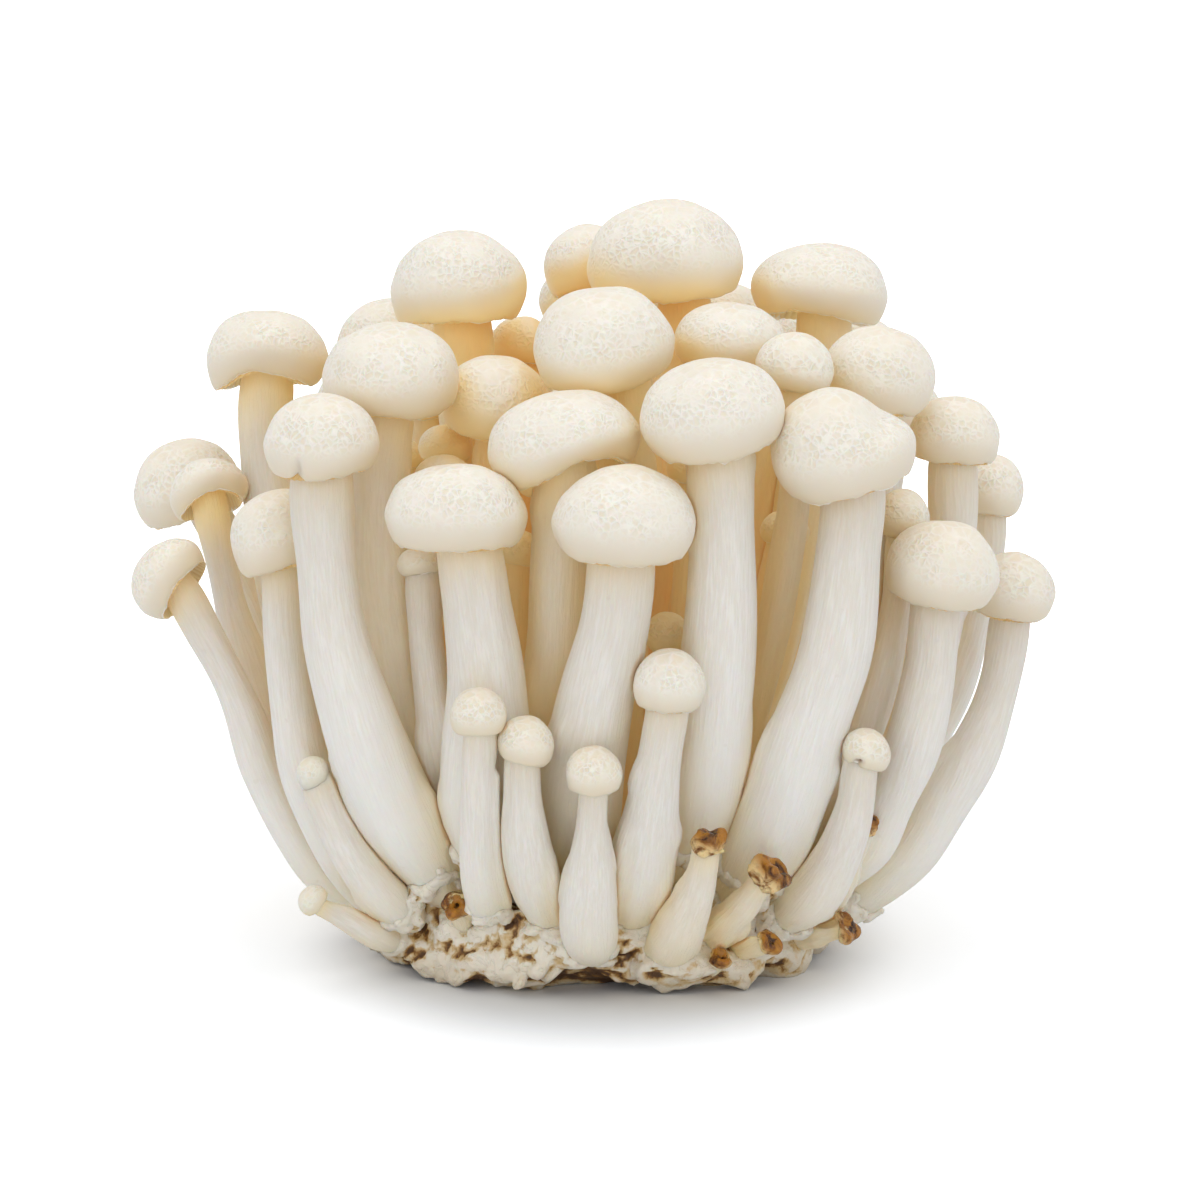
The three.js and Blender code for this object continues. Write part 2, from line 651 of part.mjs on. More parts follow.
function capRings(neck, axis, { cap, stem }, sides) {
  const { dome = 1, hollow = PLAIN_HOLLOW } = cap;
  const place = capPlacer(cap, axis, neck);
  const [, , neckRadius] = stem;
  const inner = THREE.MathUtils.clamp((NECK_CLEAR * neckRadius) / cap.radius, ...UNDERSIDE_RADIUS);
  const under = [inner, (hollow + UNDERSIDE_RISE) / dome];
  const rings = [under, CAP_RIM, ...CAP_SIDE].map((section) =>
    Array.from({ length: sides }, (_, i) => place(section, (2 * Math.PI * i) / sides)),
  );
  return { rings, top: place([0, CAP_TOP], 0) };
}

function mushroomGeometry({ mushroom, stem, sides }) {
  const curve = stemCurve(stem.map((ball) => ball.at));
  const axis = capAxis(mushroom);
  const stalk = stemRings(curve, mushroom.stem, sides, axis);
  const cap = capRings(curve.getPointAt(1), axis, mushroom, sides);
  const foot = curve.getPointAt(0).addScaledVector(curve.getTangentAt(0), -FOOT_ROUND * mushroom.stem[0]);
  return skin(foot, [...stalk, ...cap.rings], cap.top);
}

// ---------------------------------------------------------------- the butt

// Its side above the cut face, as shares of its radius and height.
const BUTT_SECTION = [
  [0.96, 0.06],
  [1, 0.25],
  [0.97, 0.5],
  [0.86, 0.76],
  [0.62, 0.92],
  [0.3, 1],
];

// The outline of the butt is lumpy, because the clumps of stems that it carries press out of it: waves of
// so many lumps each, of a height that is a share of the radius.
const BUTT_WAVES = [
  { lumps: 3, height: 0.045, start: 0.6 },
  { lumps: 5, height: 0.035, start: 2.1 },
  { lumps: 9, height: 0.02, start: 0 },
];

function buttLump(turn) {
  return BUTT_WAVES.reduce((out, { lumps, height, start }) => out + height * Math.cos(lumps * turn + start), 1);
}

function buttGeometry() {
  const ring = (radius, height) =>
    Array.from({ length: BUTT.sides }, (_, i) => {
      const turn = (2 * Math.PI * i) / BUTT.sides;
      const out = radius * buttLump(turn);
      const [x, y] = BUTT.centre;
      return new THREE.Vector3(x + out * Math.cos(turn), y + out * Math.sin(turn), height);
    });
  const sides = BUTT_SECTION.map(([out, up]) => ring(BUTT.radius * out, BUTT.height * up));
  const under = new THREE.Vector3(...BUTT.centre, 0);
  const top = new THREE.Vector3(...BUTT.centre, BUTT.height);
  return skin(under, [ring(BUTT.cutRadius, 0), ...sides], top);
}

// ---------------------------------------------------------------- cutting with manifold-3d

const WELD = 1e-4; // points nearer than this are one point
const SMALLEST_EDGE = 0.1; // shorter ones are collapsed after cutting

function toSolid(geometry) {
  const bare = geometry.clone();
  bare.deleteAttribute("normal");
  const merged = mergeVertices(bare, WELD);
  return new wasm.Manifold(
    new wasm.Mesh({
      numProp: 3,
      vertProperties: new Float32Array(merged.attributes.position.array),
      triVerts: new Uint32Array(merged.index.array),
    }),
  );
}

function toGeometry(solid) {
  const { vertProperties, triVerts } = solid.getMesh();
  return new THREE.BufferGeometry()
    .setAttribute("position", new THREE.BufferAttribute(vertProperties, 3))
    .setIndex(new THREE.BufferAttribute(triVerts, 1));
}

// The same mushroom, thicker by the gap that its socket leaves.
function socketCutter(plantling) {
  const { mushroom, sides } = plantling;
  const wider = SOCKET_GAP / Math.cos(Math.PI / sides);
  const stem = mushroom.stem.map((radius) => radius + wider);
  const cap = { ...mushroom.cap, radius: mushroom.cap.radius + wider };
  return toSolid(mushroomGeometry({ ...plantling, mushroom: { ...mushroom, stem, cap } }));
}

function cutSockets(butt, mushrooms) {
  let solid = toSolid(butt);
  for (const plantling of mushrooms) solid = solid.subtract(socketCutter(plantling));
  const largest = solid.decompose().sort((a, b) => b.volume() - a.volume())[0];
  return toGeometry(largest.simplify(SMALLEST_EDGE));
}

// ---------------------------------------------------------------- materials

const fleshMaterial = () => new THREE.MeshStandardMaterial({ color: 0xeee8dc, roughness: 0.55, metalness: 0 });
const driedMaterial = () => new THREE.MeshStandardMaterial({ color: 0xb08550, roughness: 0.6, metalness: 0 });
const buttMaterial = () => new THREE.MeshStandardMaterial({ color: 0xd9ccb4, roughness: 0.85, metalness: 0 });

// ---------------------------------------------------------------- the bunch

const bunch = new THREE.Group();

function addMesh(name, geometry, material) {
  const mesh = new THREE.Mesh(geometry, material);
  mesh.name = name;
  bunch.add(mesh);
}

const outer = [...FRONT, ...SHOULDERS, ...BUTTONS, ...DRIED, ...CROWN];
const hidden = [...INNER, ...BACK];
const outerSides = ({ cap }) => (cap.radius > LARGE_CAP ? LARGE_SIDES : SMALL_SIDES);
const planted = [
  ...outer.map((mushroom) => plant(mushroom, 1, outerSides(mushroom))),
  ...hidden.map((mushroom) => plant(mushroom, HIDDEN_YIELDS, SMALL_SIDES)),
];
grow(planted);

for (const plantling of planted) {
  const material = DRIED.includes(plantling.mushroom) ? driedMaterial() : fleshMaterial();
  addMesh(plantling.mushroom.name, mushroomGeometry(plantling), material);
}
addMesh("butt", cutSockets(buttGeometry(), planted), buttMaterial());

// The origin goes under the middle of the bunch.
const box = new THREE.Box3().setFromObject(bunch);
const middle = box.getCenter(new THREE.Vector3());
bunch.position.set(-middle.x, -middle.y, -box.min.z);

export default bunch;
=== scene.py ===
# %% [markdown]
# # A bunch of white beech mushrooms
#
# This lesson grows a bunch of white beech mushrooms over a CAD model of it. The CAD model says where every
# mushroom stands and how large it is, but it is a coarse skin of flat triangles. Here each mushroom gets a
# smooth skin, a rolled lip, gills, lengthwise fibres and the fine net that covers its cap.

import math

import bpy
import numpy as np
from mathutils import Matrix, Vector
from mathutils.bvhtree import BVHTree


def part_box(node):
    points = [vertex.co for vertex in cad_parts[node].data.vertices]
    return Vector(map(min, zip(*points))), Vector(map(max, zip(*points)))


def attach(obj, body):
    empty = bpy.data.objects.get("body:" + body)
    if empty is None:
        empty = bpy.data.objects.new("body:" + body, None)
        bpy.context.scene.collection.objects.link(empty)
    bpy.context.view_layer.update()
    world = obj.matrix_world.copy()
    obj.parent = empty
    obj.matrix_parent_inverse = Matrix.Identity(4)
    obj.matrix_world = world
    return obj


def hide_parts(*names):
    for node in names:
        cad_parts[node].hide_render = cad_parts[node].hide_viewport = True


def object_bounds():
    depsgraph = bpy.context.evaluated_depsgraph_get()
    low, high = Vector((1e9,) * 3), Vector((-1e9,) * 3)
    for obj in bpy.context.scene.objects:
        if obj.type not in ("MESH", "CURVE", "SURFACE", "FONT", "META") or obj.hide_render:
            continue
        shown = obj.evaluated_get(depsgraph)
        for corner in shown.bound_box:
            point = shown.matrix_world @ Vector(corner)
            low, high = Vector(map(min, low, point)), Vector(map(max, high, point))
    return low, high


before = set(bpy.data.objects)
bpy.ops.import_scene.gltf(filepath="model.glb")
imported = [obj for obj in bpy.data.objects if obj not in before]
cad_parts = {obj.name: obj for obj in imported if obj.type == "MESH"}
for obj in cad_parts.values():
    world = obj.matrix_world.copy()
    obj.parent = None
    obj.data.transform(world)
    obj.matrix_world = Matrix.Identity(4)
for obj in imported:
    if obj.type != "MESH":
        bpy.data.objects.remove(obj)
cad_box = [list(corner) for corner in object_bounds()]
MM = 0.001
mushroom_names = sorted(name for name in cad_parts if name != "butt")
print(f"{len(mushroom_names)} mushrooms on one butt, {1000 * cad_box[1][2]:.0f} mm high")

# %% [markdown]
# ## Camera, lights and floor
#
# White mushrooms on white need soft light. A white world lights everything evenly, a large lamp above gives
# the caps their bright tops, another in front fills the stems, and the floor catches a faint shadow. The
# camera looks down a little, from far away and through a long lens, so that near and far mushrooms keep their
# sizes.

# %% Camera
CAMERA_DISTANCE = 600 * MM
CAMERA_ELEVATION = math.radians(10)
PICTURE_WIDTH = 150 * MM  # what the picture's width takes in at the bunch
AIM_OFFSET = Vector((1.59, -5.81, -3.05)) * MM  # from the middle of the CAD box

box_middle = (Vector(cad_box[0]) + Vector(cad_box[1])) / 2
aim = box_middle + AIM_OFFSET
towards_camera = Vector((0, -math.cos(CAMERA_ELEVATION), math.sin(CAMERA_ELEVATION)))
camera = bpy.data.objects.new("camera", bpy.data.cameras.new("camera"))
bpy.context.scene.collection.objects.link(camera)
camera.location = aim + towards_camera * CAMERA_DISTANCE
camera.rotation_euler = towards_camera.to_track_quat("Z", "Y").to_euler()
camera.data.sensor_width = 36
camera.data.lens = camera.data.sensor_width * CAMERA_DISTANCE / PICTURE_WIDTH
camera.data.clip_start = 0.01
bpy.context.scene.camera = camera
print(f"a {camera.data.lens:.0f} mm lens, {1000 * CAMERA_DISTANCE:.0f} mm away")

# %% [markdown]
# ## Short words for shader nodes
#
# A material could be clicked together in the shader editor, but then nobody could read it here. These helpers
# make one node each and link it, so that a finish reads like a recipe.

# %% Helpers for node trees


def wire(tree, made, inputs):
    """Gives each input of a node its value, or links it from a socket."""
    for key, value in inputs.items():
        if isinstance(value, bpy.types.NodeSocket):
            tree.links.new(value, made.inputs[key])
        else:
            made.inputs[key].default_value = value


def node(tree, kind, inputs=None, **settings):
    """A shader node with its inputs wired."""
    made = tree.nodes.new("ShaderNode" + kind)
    for name, value in settings.items():
        setattr(made, name, value)
    wire(tree, made, inputs or {})
    return made


def attribute(tree, name, output="Fac"):
    """What the mesh says at each point under this name."""
    return node(tree, "Attribute", attribute_name=name).outputs[output]


def place_on(tree):
    """Where on the object a point lies."""
    return node(tree, "TexCoord").outputs["Object"]


def noise(tree, place, scale, detail, roughness=0.5, distortion=0.0, output="Fac"):
    """Cloudy noise round 0.5, with about this many clouds to a metre."""
    inputs = {"Vector": place, "Scale": scale, "Detail": detail, "Roughness": roughness,
              "Distortion": distortion}
    return node(tree, "TexNoise", inputs).outputs[output]


def maths(tree, operation, *values):
    """One step of arithmetic."""
    return node(tree, "Math", dict(enumerate(values)), operation=operation).outputs[0]


def vector_maths(tree, operation, first, second):
    """One step of arithmetic on vectors."""
    return node(tree, "VectorMath", {0: first, 1: second}, operation=operation).outputs[0]


def blend(tree, factor, first, second, blend_type="MIX"):
    """Mixes two colours."""
    inputs = {0: factor, 6: first, 7: second}
    return node(tree, "Mix", inputs, data_type="RGBA", blend_type=blend_type).outputs[2]


def spread(tree, value, low, high, to_low=0.0, to_high=1.0):
    """A value's span from low to high turned into the span from to_low to to_high, with soft ends."""
    inputs = {0: value, 1: low, 2: high, 3: to_low, 4: to_high}
    return node(tree, "MapRange", inputs, interpolation_type="SMOOTHSTEP").outputs[0]


def paint(red, green, blue):
    """A colour from its sRGB values, 0 to 255, as the linear colour that shaders want."""
    linear = [
        c / 12.92 if c <= 0.04045 else ((c + 0.055) / 1.055) ** 2.4
        for c in (red / 255, green / 255, blue / 255)
    ]
    return (*linear, 1.0)


def painted(tree, colour, *coats):
    """A colour with coats over it. A coat is where it shows, how strongly, and its sRGB values."""
    for where, strength, coat in coats:
        colour = blend(tree, maths(tree, "MULTIPLY", where, strength), colour, paint(*coat))
    return colour


def bump(tree, height, strength, distance):
    """A skin that looks raised where the height is large. The distance is in millimetres."""
    inputs = {"Height": height, "Strength": strength, "Distance": distance * MM}
    return node(tree, "Bump", inputs).outputs[0]


print(f"a middle grey, 128 of 255, is {paint(128, 128, 128)[0]:.2f} as light")

# %% World and lamps
WORLD_LIGHT = 0.79
WHITE = (1, 1, 1, 1)

world = bpy.data.worlds.new("studio")
world.use_nodes = True
bpy.context.scene.world = world
tree = world.node_tree
tree.nodes.clear()
rays = node(tree, "LightPath")
seen = maths(tree, "MAXIMUM", rays.outputs["Is Camera Ray"], rays.outputs["Is Transmission Ray"])
strength = spread(tree, seen, 0.0, 1.0, WORLD_LIGHT, 1.0)
studio = node(tree, "Background", {"Color": WHITE, "Strength": strength})
node(tree, "OutputWorld", {"Surface": studio.outputs[0]})


def add_lamp(name, place, size, watts):
    """A square area lamp that faces the bunch."""
    data = bpy.data.lights.new(name, "AREA")
    data.shape = "SQUARE"
    data.size = size
    data.energy = watts
    lamp = bpy.data.objects.new(name, data)
    bpy.context.scene.collection.objects.link(lamp)
    lamp.location = place
    lamp.rotation_euler = (Vector(place) - box_middle).to_track_quat("Z", "Y").to_euler()


add_lamp("top_lamp", (0.0, 0.05, 1.0), size=0.9, watts=2.5)
add_lamp("front_lamp", (0.0, -1.0, 0.15), size=1.5, watts=2.5)
print("a white world and two lamps")

# %% Floor
FLOOR_SIZE = 40.0
SHADOW_GLOW, NEAR_GLOW, FAR_GLOW = 0.0, 0.34, 1.0  # lifts the floor to white where no shadow falls
SHADOW_EDGE = (37 * MM, 61 * MM)  # how far in front of the butt's middle the lift sets in
WHITE_FROM = 250 * MM  # how far from it the floor is quite white
SIDEWAYS = 1.5  # at the sides it sets in this much nearer

butt_low, butt_high = (np.array(corner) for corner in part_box("butt"))
butt_middle = (butt_low + butt_high) / 2 * [1, 1, 0]
floor_data = bpy.data.meshes.new("floor")
half = FLOOR_SIZE / 2
floor_data.from_pydata(
    [(-half, -half, 0), (half, -half, 0), (half, half, 0), (-half, half, 0)], [], [(0, 1, 2, 3)]
)
floor = bpy.data.objects.new("floor", floor_data)
bpy.context.scene.collection.objects.link(floor)

floor_paint = bpy.data.materials.new("studio_floor")
floor_paint.use_nodes = True
tree = floor_paint.node_tree
tree.nodes.clear()
place = place_on(tree)
board = blend(tree, noise(tree, place, 40.0, 3.0), paint(234, 237, 241), paint(238, 241, 245))
matt = node(tree, "BsdfDiffuse", {"Color": board})
away = vector_maths(tree, "SUBTRACT", place, tuple(butt_middle))
away = vector_maths(tree, "MULTIPLY", away, (SIDEWAYS, 1.0, 1.0))
away = node(tree, "VectorMath", {0: away}, operation="LENGTH").outputs["Value"]
glow = spread(tree, away, *SHADOW_EDGE, SHADOW_GLOW, NEAR_GLOW)
beyond = spread(tree, away, SHADOW_EDGE[1], WHITE_FROM, 0.0, FAR_GLOW - NEAR_GLOW)
glow = maths(tree, "ADD", glow, beyond)
glow = node(tree, "Emission", {"Color": WHITE, "Strength": glow})
lit = node(tree, "AddShader", {0: matt.outputs[0], 1: glow.outputs[0]})
rays = node(tree, "LightPath")
shown = node(
    tree, "MixShader", {0: rays.outputs["Is Camera Ray"], 1: matt.outputs[0], 2: lit.outputs[0]}
)
node(tree, "OutputMaterial", {"Surface": shown.outputs[0]})
floor_data.materials.append(floor_paint)
print(f"a floor {FLOOR_SIZE:.0f} m wide")

# %% [markdown]
# ## Reading the CAD rings
#
# Every CAD mushroom is a closed skin: a point at the foot, rings of points up the stem and over the cap, and
# a point at the crown. Only those two end points have eight or more neighbours, so the foot can be found, and
# the rings are then what one reaches from it step by step, as tree rings are counted from the middle.

# %% Rings of a mushroom
WELD = 0.01 * MM
POLE_NEIGHBOURS = 8
STEM_RINGS = 8  # the rings after them belong to the cap


def places(mesh):
    """The points of a mesh."""
    points = np.empty(len(mesh.vertices) * 3)
    mesh.vertices.foreach_get("co", points)
    return points.reshape(-1, 3)


def welded(mesh):
    """The points of a mesh with doubles joined, and the set of each point's neighbours."""
    points = places(mesh)
    _, first, joined = np.unique(
        np.round(points / WELD), axis=0, return_index=True, return_inverse=True
    )
    joined = joined.reshape(-1)
    near = [set() for _ in first]
    for polygon in mesh.polygons:
        corners = {int(joined[i]) for i in polygon.vertices}
        for corner in corners:
            near[corner] |= corners - {corner}
    return points[first], near


def in_order(ring, near):
    """The points of a ring in the order in which one meets them on a walk round it."""
    walk = [min(ring)]
    while len(walk) < len(ring):
        walk.append(min((near[walk[-1]] & ring) - set(walk)))
    return walk


def facing(ring):
    """A vector square to a ring, on the side from which its points run anticlockwise."""
    arms = ring - ring.mean(0)
    return np.cross(arms, np.roll(arms, -1, axis=0)).sum(0)


def lined_up(rings, forward):
    """Makes all rings run the same way round and start on the same side."""
    out, side = [], np.array([1.0, 0.0, 0.0])
    for ring in rings:
        if facing(ring) @ forward < 0:
            ring = ring[::-1]
        forward = facing(ring)
        arms = ring - ring.mean(0)
        arms /= np.linalg.norm(arms, axis=1, keepdims=True)
        start = int(np.argmax(arms @ side))
        side = arms[start]
        out.append(np.roll(ring, -start, axis=0))
    return np.array(out)


def read_rings(name):
    """A CAD mushroom's foot point, its rings and its crown point, in metres."""
    points, near = welded(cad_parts[name].data)
    poles = [i for i, beside in enumerate(near) if len(beside) >= POLE_NEIGHBOURS]
    foot, crown = sorted(poles, key=lambda i: points[i][2])
    rings, reached, ring = [], {foot}, near[foot]
    while crown not in ring:
        rings.append(points[in_order(ring, near)])
        reached |= ring
        ring = set().union(*(near[i] for i in ring)) - reached
    return points[foot], lined_up(rings, rings[0].mean(0) - points[foot]), points[crown]


skins = {name: read_rings(name) for name in mushroom_names}
print(f"{sum(len(rings) for _, rings, _ in skins.values())} rings read")

# %% [markdown]
# ## Pins in the middle
#
# Between the large stems stand thinner ones that never reached the light. They are too small and too hidden
# to be nodes of the CAD model, so they are planted here: a thin stem is tried at many random places, and it
# stays where it finds room between its neighbours. The four that show most are listed.

# %% Plant the pins
PINS = 26
PIN_TRIES = 6000
PIN_SIDES = 8
PIN_CAP = [(0.6, 0.12), (0.8, 0.0), (1.0, 0.4), (0.87, 0.8), (0.53, 1.08)]  # out and up, against its radius
PIN_CROWN = 1.2
PIN_SUNK = 0.1  # how far the cap sits over the stem's top, against its radius
KNEE = 0.75  # how much of the way out a pin has gone when it is half way up
PIN_FOOT = 9 * MM
PIN_REACH = 21 * MM
PIN_STANCE = 0.75  # how far out the foot is, against the pin's place
PIN_LEAN = (1.0, 1.5)  # and how far out the top is
PIN_TOPS = (40, 66)  # these three are in millimetres
PIN_STEMS = (1.7, 2.4)
PIN_CAPS = (2.8, 4.2)
PIN_CHECKS = np.linspace(0.12, 0.95, 9)  # where along a pin the room round it is tested
SQUEEZE = 0.35 * MM  # how far a pin may press into its neighbours


def cad_tree():
    """All CAD nodes in one tree for ray casting, and the name of the node that each face is from."""
    points, faces, owners = [], [], []
    for name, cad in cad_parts.items():
        faces += [[i + len(points) for i in p.vertices] for p in cad.data.polygons]
        points += [v.co.copy() for v in cad.data.vertices]
        owners += [name] * len(cad.data.polygons)
    return BVHTree.FromPolygons(points, faces), owners


everything, face_owners = cad_tree()


def clear_of(tree, planted, centre, radius):
    """Whether a ball has room between the mushrooms and the pins planted so far."""
    _, _, _, distance = tree.find_nearest(Vector(centre), radius)
    if distance is not None and distance < radius - SQUEEZE:
        return False
    return all(np.linalg.norm(centre - c) > radius + r - SQUEEZE for c, r in planted)


def pin_line(foot, top, t):
    """A point on a pin's centreline, which stands up more steeply than it starts."""
    knee = foot + (top - foot) * KNEE
    knee[2] = top[2] / 2
    return (1 - t) ** 2 * foot + 2 * t * (1 - t) * knee + t**2 * top


def pin_skin(foot, top, stem_radius, radius):
    """The rings of a pin, made the way the CAD mushrooms are."""
    turn = 2 * math.pi * np.arange(PIN_SIDES) / PIN_SIDES
    circle = np.stack([np.cos(turn), np.sin(turn), np.zeros(PIN_SIDES)], axis=1)
    rings = [
        pin_line(foot, top, t) + circle * stem_radius * (1.15 - 0.25 * t)
        for t in np.linspace(0, 1, STEM_RINGS)
    ]
    up = np.array([0, 0, 1])
    rings += [top + circle * radius * out + up * radius * (rise - PIN_SUNK) for out, rise in PIN_CAP]
    return foot - up * stem_radius, np.array(rings), top + up * radius * (PIN_CROWN - PIN_SUNK)


# The pins that show between the large stems: foot, top, stem radius and cap radius, in millimetres.
CHOSEN_PINS = [
    ((-10, -6, 9), (-17.5, -10.8, 62.5), 1.7, 3.4),
    ((-11, 0, 9), (-20.4, 2.2, 66), 2.3, 3.8),
    ((10, -2, 9), (22.4, 3.0, 66), 2.8, 3.6),
    ((26, -8, 6), (40.5, -9.4, 50), 2.5, 3.0),
]
pin_dice = np.random.default_rng(11)
planted = []
for k, (foot, top, stem_radius, radius) in enumerate(CHOSEN_PINS):
    foot, top = np.array(foot) * MM, np.array(top) * MM
    planted += [(pin_line(foot, top, t), stem_radius * MM) for t in PIN_CHECKS]
    planted.append((top, radius * MM))
    skins[f"chosen_pin_{k + 1}"] = pin_skin(foot, top, stem_radius * MM, radius * MM)
for _ in range(PIN_TRIES):
    angle = pin_dice.uniform(0, 2 * math.pi)
    reach = PIN_REACH * pin_dice.uniform(0, 1) ** 0.5
    level = np.array([math.cos(angle), math.sin(angle), 0]) * reach
    foot = level * PIN_STANCE + np.array([0, 0, PIN_FOOT])
    top = level * pin_dice.uniform(*PIN_LEAN) + np.array([0, 0, pin_dice.uniform(*PIN_TOPS) * MM])
    stem_radius = pin_dice.uniform(*PIN_STEMS) * MM
    radius = pin_dice.uniform(*PIN_CAPS) * MM
    balls = [(pin_line(foot, top, t), stem_radius) for t in PIN_CHECKS]
    balls.append((top + np.array([0, 0, 0.5 * radius]), radius))
    if all(clear_of(everything, planted, *one) for one in balls):
        planted += balls
        skins[f"inner_pin_{len(skins) - len(mushroom_names)}"] = pin_skin(foot, top, stem_radius, radius)
    if len(skins) == len(mushroom_names) + PINS:
        break
print(f"{len(skins) - len(mushroom_names)} pins planted")

# %% [markdown]
# ## Where the light doesn't reach
#
# Deep between the stems a real bunch is golden: light gets there only after many passes through
# cream-coloured flesh, and the flesh itself is a little yellower where it grew without air. That golden shade
# is painted into the colour here. Two things decide how much of it a point gets: how far inside the bunch it
# lies, and how little of the sky it sees. The second is found by looking out from it in many directions and
# counting how many of the looks get away. Golden shade is also painted in the hollow of a cap and in the
# creases between the feet.

# %% Painted golden shade at every ring point
LOOKS = 110
LOOK_START = 0.4 * MM
LOWEST_LOOK = -0.35  # a look that goes down more steeply sees only the floor
GRAZING = 0.05  # a look flatter than this along the skin doesn't count
LEAST_LOOKS = 0.01  # keeps a share from being divided by nothing
LEVELS = np.arange(0, 100, 8) * MM
LEVEL_HEIGHT = 7 * MM
LEAST_REACH = 20 * MM  # the bunch's reach where no ring lies near a level
OWN_GOLDEN_SHADE = 0.38  # how much golden shade is painted inside a hollow cap
AGED = 0.06  # added to the golden shade of a button that has dried
FOOT_GOLDEN_SHADE = 0.36  # how much golden shade is painted in the creases between the feet
FOOT_GOLDEN_SHADE_HEIGHT = 26 * MM
CLEARER = {"mushroom_front_tucked_left": 0.3, "mushroom_shoulder_left": 0.8}  # these get only this share of the painted golden shade
HOLLOW_CAP = (0.2, 0.45)  # how far a hollow cap's rim hangs below the neck, against its radius


def directions(count):
    """Directions spread evenly over a sphere, along a spiral."""
    k = np.arange(count) + 0.5
    height = 1 - 2 * k / count
    turn = k * math.pi * (1 + math.sqrt(5))
    level = np.sqrt(1 - height**2)
    return np.stack([level * np.cos(turn), level * np.sin(turn), height], axis=1)


looks = directions(LOOKS)
looks = looks[looks[:, 2] > LOWEST_LOOK]
open_light = np.maximum(looks[:, 0], 0).sum()  # what an upright skin gets with nothing in its way

ring_points = np.concatenate([skins[name][1].reshape(-1, 3) for name in mushroom_names])
ring_reach = np.hypot(ring_points[:, 0], ring_points[:, 1])
level_reach = [
    ring_reach[np.abs(ring_points[:, 2] - level) < LEVEL_HEIGHT].max(initial=LEAST_REACH)
    for level in LEVELS
]


def depth_inside(points):
    """How far inside the bunch points lie: 0 at its outline and 1 on its axis."""
    reach = np.interp(points[..., 2], LEVELS, level_reach)
    return np.clip(1 - np.hypot(points[..., 0], points[..., 1]) / reach, 0, 1)


def ring_normals(rings):
    """The direction straight out of the skin at each ring point."""
    onward = np.gradient(rings, axis=0)
    sideways = np.roll(rings, -1, axis=1) - np.roll(rings, 1, axis=1)
    normals = np.cross(sideways, onward)
    return normals / np.linalg.norm(normals, axis=2, keepdims=True)


def light_at(name, point, normal):
    """The share of an open skin's light that gets to a point, and the share its own mushroom blocks."""
    start = Vector(point + normal * LOOK_START)
    light, own, total = 0.0, 0.0, LEAST_LOOKS
    for look, weight in zip(looks, looks @ normal):
        if weight <= GRAZING:
            continue
        total += weight
        hit, _, face, _ = everything.ray_cast(start, Vector(look))
        if hit is None:
            light += weight
        elif face_owners[face] == name:
            own += weight
    return min(1.0, light / open_light), own / total


def hollowness(name):
    """0 for a cap that is full underneath, up to 1 for one that is open like a bowl."""
    _, rings, crown = skins[name]
    neck, rim = rings[STEM_RINGS - 1].mean(0), rings[STEM_RINGS + 1]
    axis = (crown - rim.mean(0)) / np.linalg.norm(crown - rim.mean(0))
    hang = (neck - rim.mean(0)) @ axis / np.linalg.norm(rim - rim.mean(0), axis=1).mean()
    return np.clip((hang - HOLLOW_CAP[0]) / (HOLLOW_CAP[1] - HOLLOW_CAP[0]), 0, 1)


def ring_golden_shade(name):
    """The painted golden shade at each point of a mushroom's rings, from 0 to about 1."""
    rings = skins[name][1]
    normals = ring_normals(rings)
    lit = [[light_at(name, p, n) for p, n in zip(*ring)] for ring in zip(rings, normals)]
    light, own = np.moveaxis(np.array(lit), 2, 0)
    low = np.exp(-((rings[..., 2] / FOOT_GOLDEN_SHADE_HEIGHT) ** 2))
    deep = np.maximum(depth_inside(rings), FOOT_GOLDEN_SHADE * low)
    aged = AGED if name.startswith("dried") else 0
    return CLEARER.get(name, 1) * deep * (1 - light) + OWN_GOLDEN_SHADE * hollowness(name) * own**3 + aged


golden_shades = {name: ring_golden_shade(name) for name in skins}
print(f"mean warmth {np.mean([w.mean() for w in golden_shades.values()]):.2f}")

# %% [markdown]
# ## Smooth skins
#
# A ring of ten points becomes a smooth one through a Fourier series, which turns a regular polygon back into
# the circle it came from. Along the stem and over the cap a curve runs through each column of points. The
# painted golden shade is carried along as a fourth coordinate, so it comes out just as smooth.

# %% Smooth interpolation


def around(rings, count):
    """Rings of a few points as smooth rings of count points."""
    few = rings.shape[1]
    waves = np.fft.rfft(rings, axis=1)
    waves[:, -1] *= 0.5
    return np.fft.irfft(waves, count, axis=1) * (count / few)


def distances(rings):
    """How far along the skin each ring lies, on average round the ring."""
    steps = np.linalg.norm(np.diff(rings[..., :3], axis=0), axis=2).mean(1)
    return np.concatenate([[0.0], np.cumsum(steps)])


def along(rings, knots, at):
    """Rings at other distances along the skin, on smooth curves through the given ones."""
    slopes = np.gradient(rings, knots, axis=0)
    i = np.clip(np.searchsorted(knots, at, side="right") - 1, 0, len(knots) - 2)
    span = (knots[i + 1] - knots[i])[:, None, None]
    t = (at - knots[i])[:, None, None] / span
    return (
        (2 * t**3 - 3 * t**2 + 1) * rings[i]
        + (t**3 - 2 * t**2 + t) * span * slopes[i]
        + (3 * t**2 - 2 * t**3) * rings[i + 1]
        + (t**3 - t**2) * span * slopes[i + 1]
    )


def ripple(points, length, seed, waves=14):
    """Smooth lumps about this long, mostly between -1 and 1: waves in random directions, added up."""
    dice = np.random.default_rng(seed)
    ways = dice.normal(size=(waves, 3))
    ways /= np.linalg.norm(ways, axis=1, keepdims=True)
    ways *= 2 * math.pi / length * dice.uniform(0.6, 1.4, (waves, 1))
    phases = dice.uniform(0, 2 * math.pi, waves)
    return np.sin(points @ ways.T + phases).sum(1) / math.sqrt(waves)


print("smooth rings, curves and ripples ready")

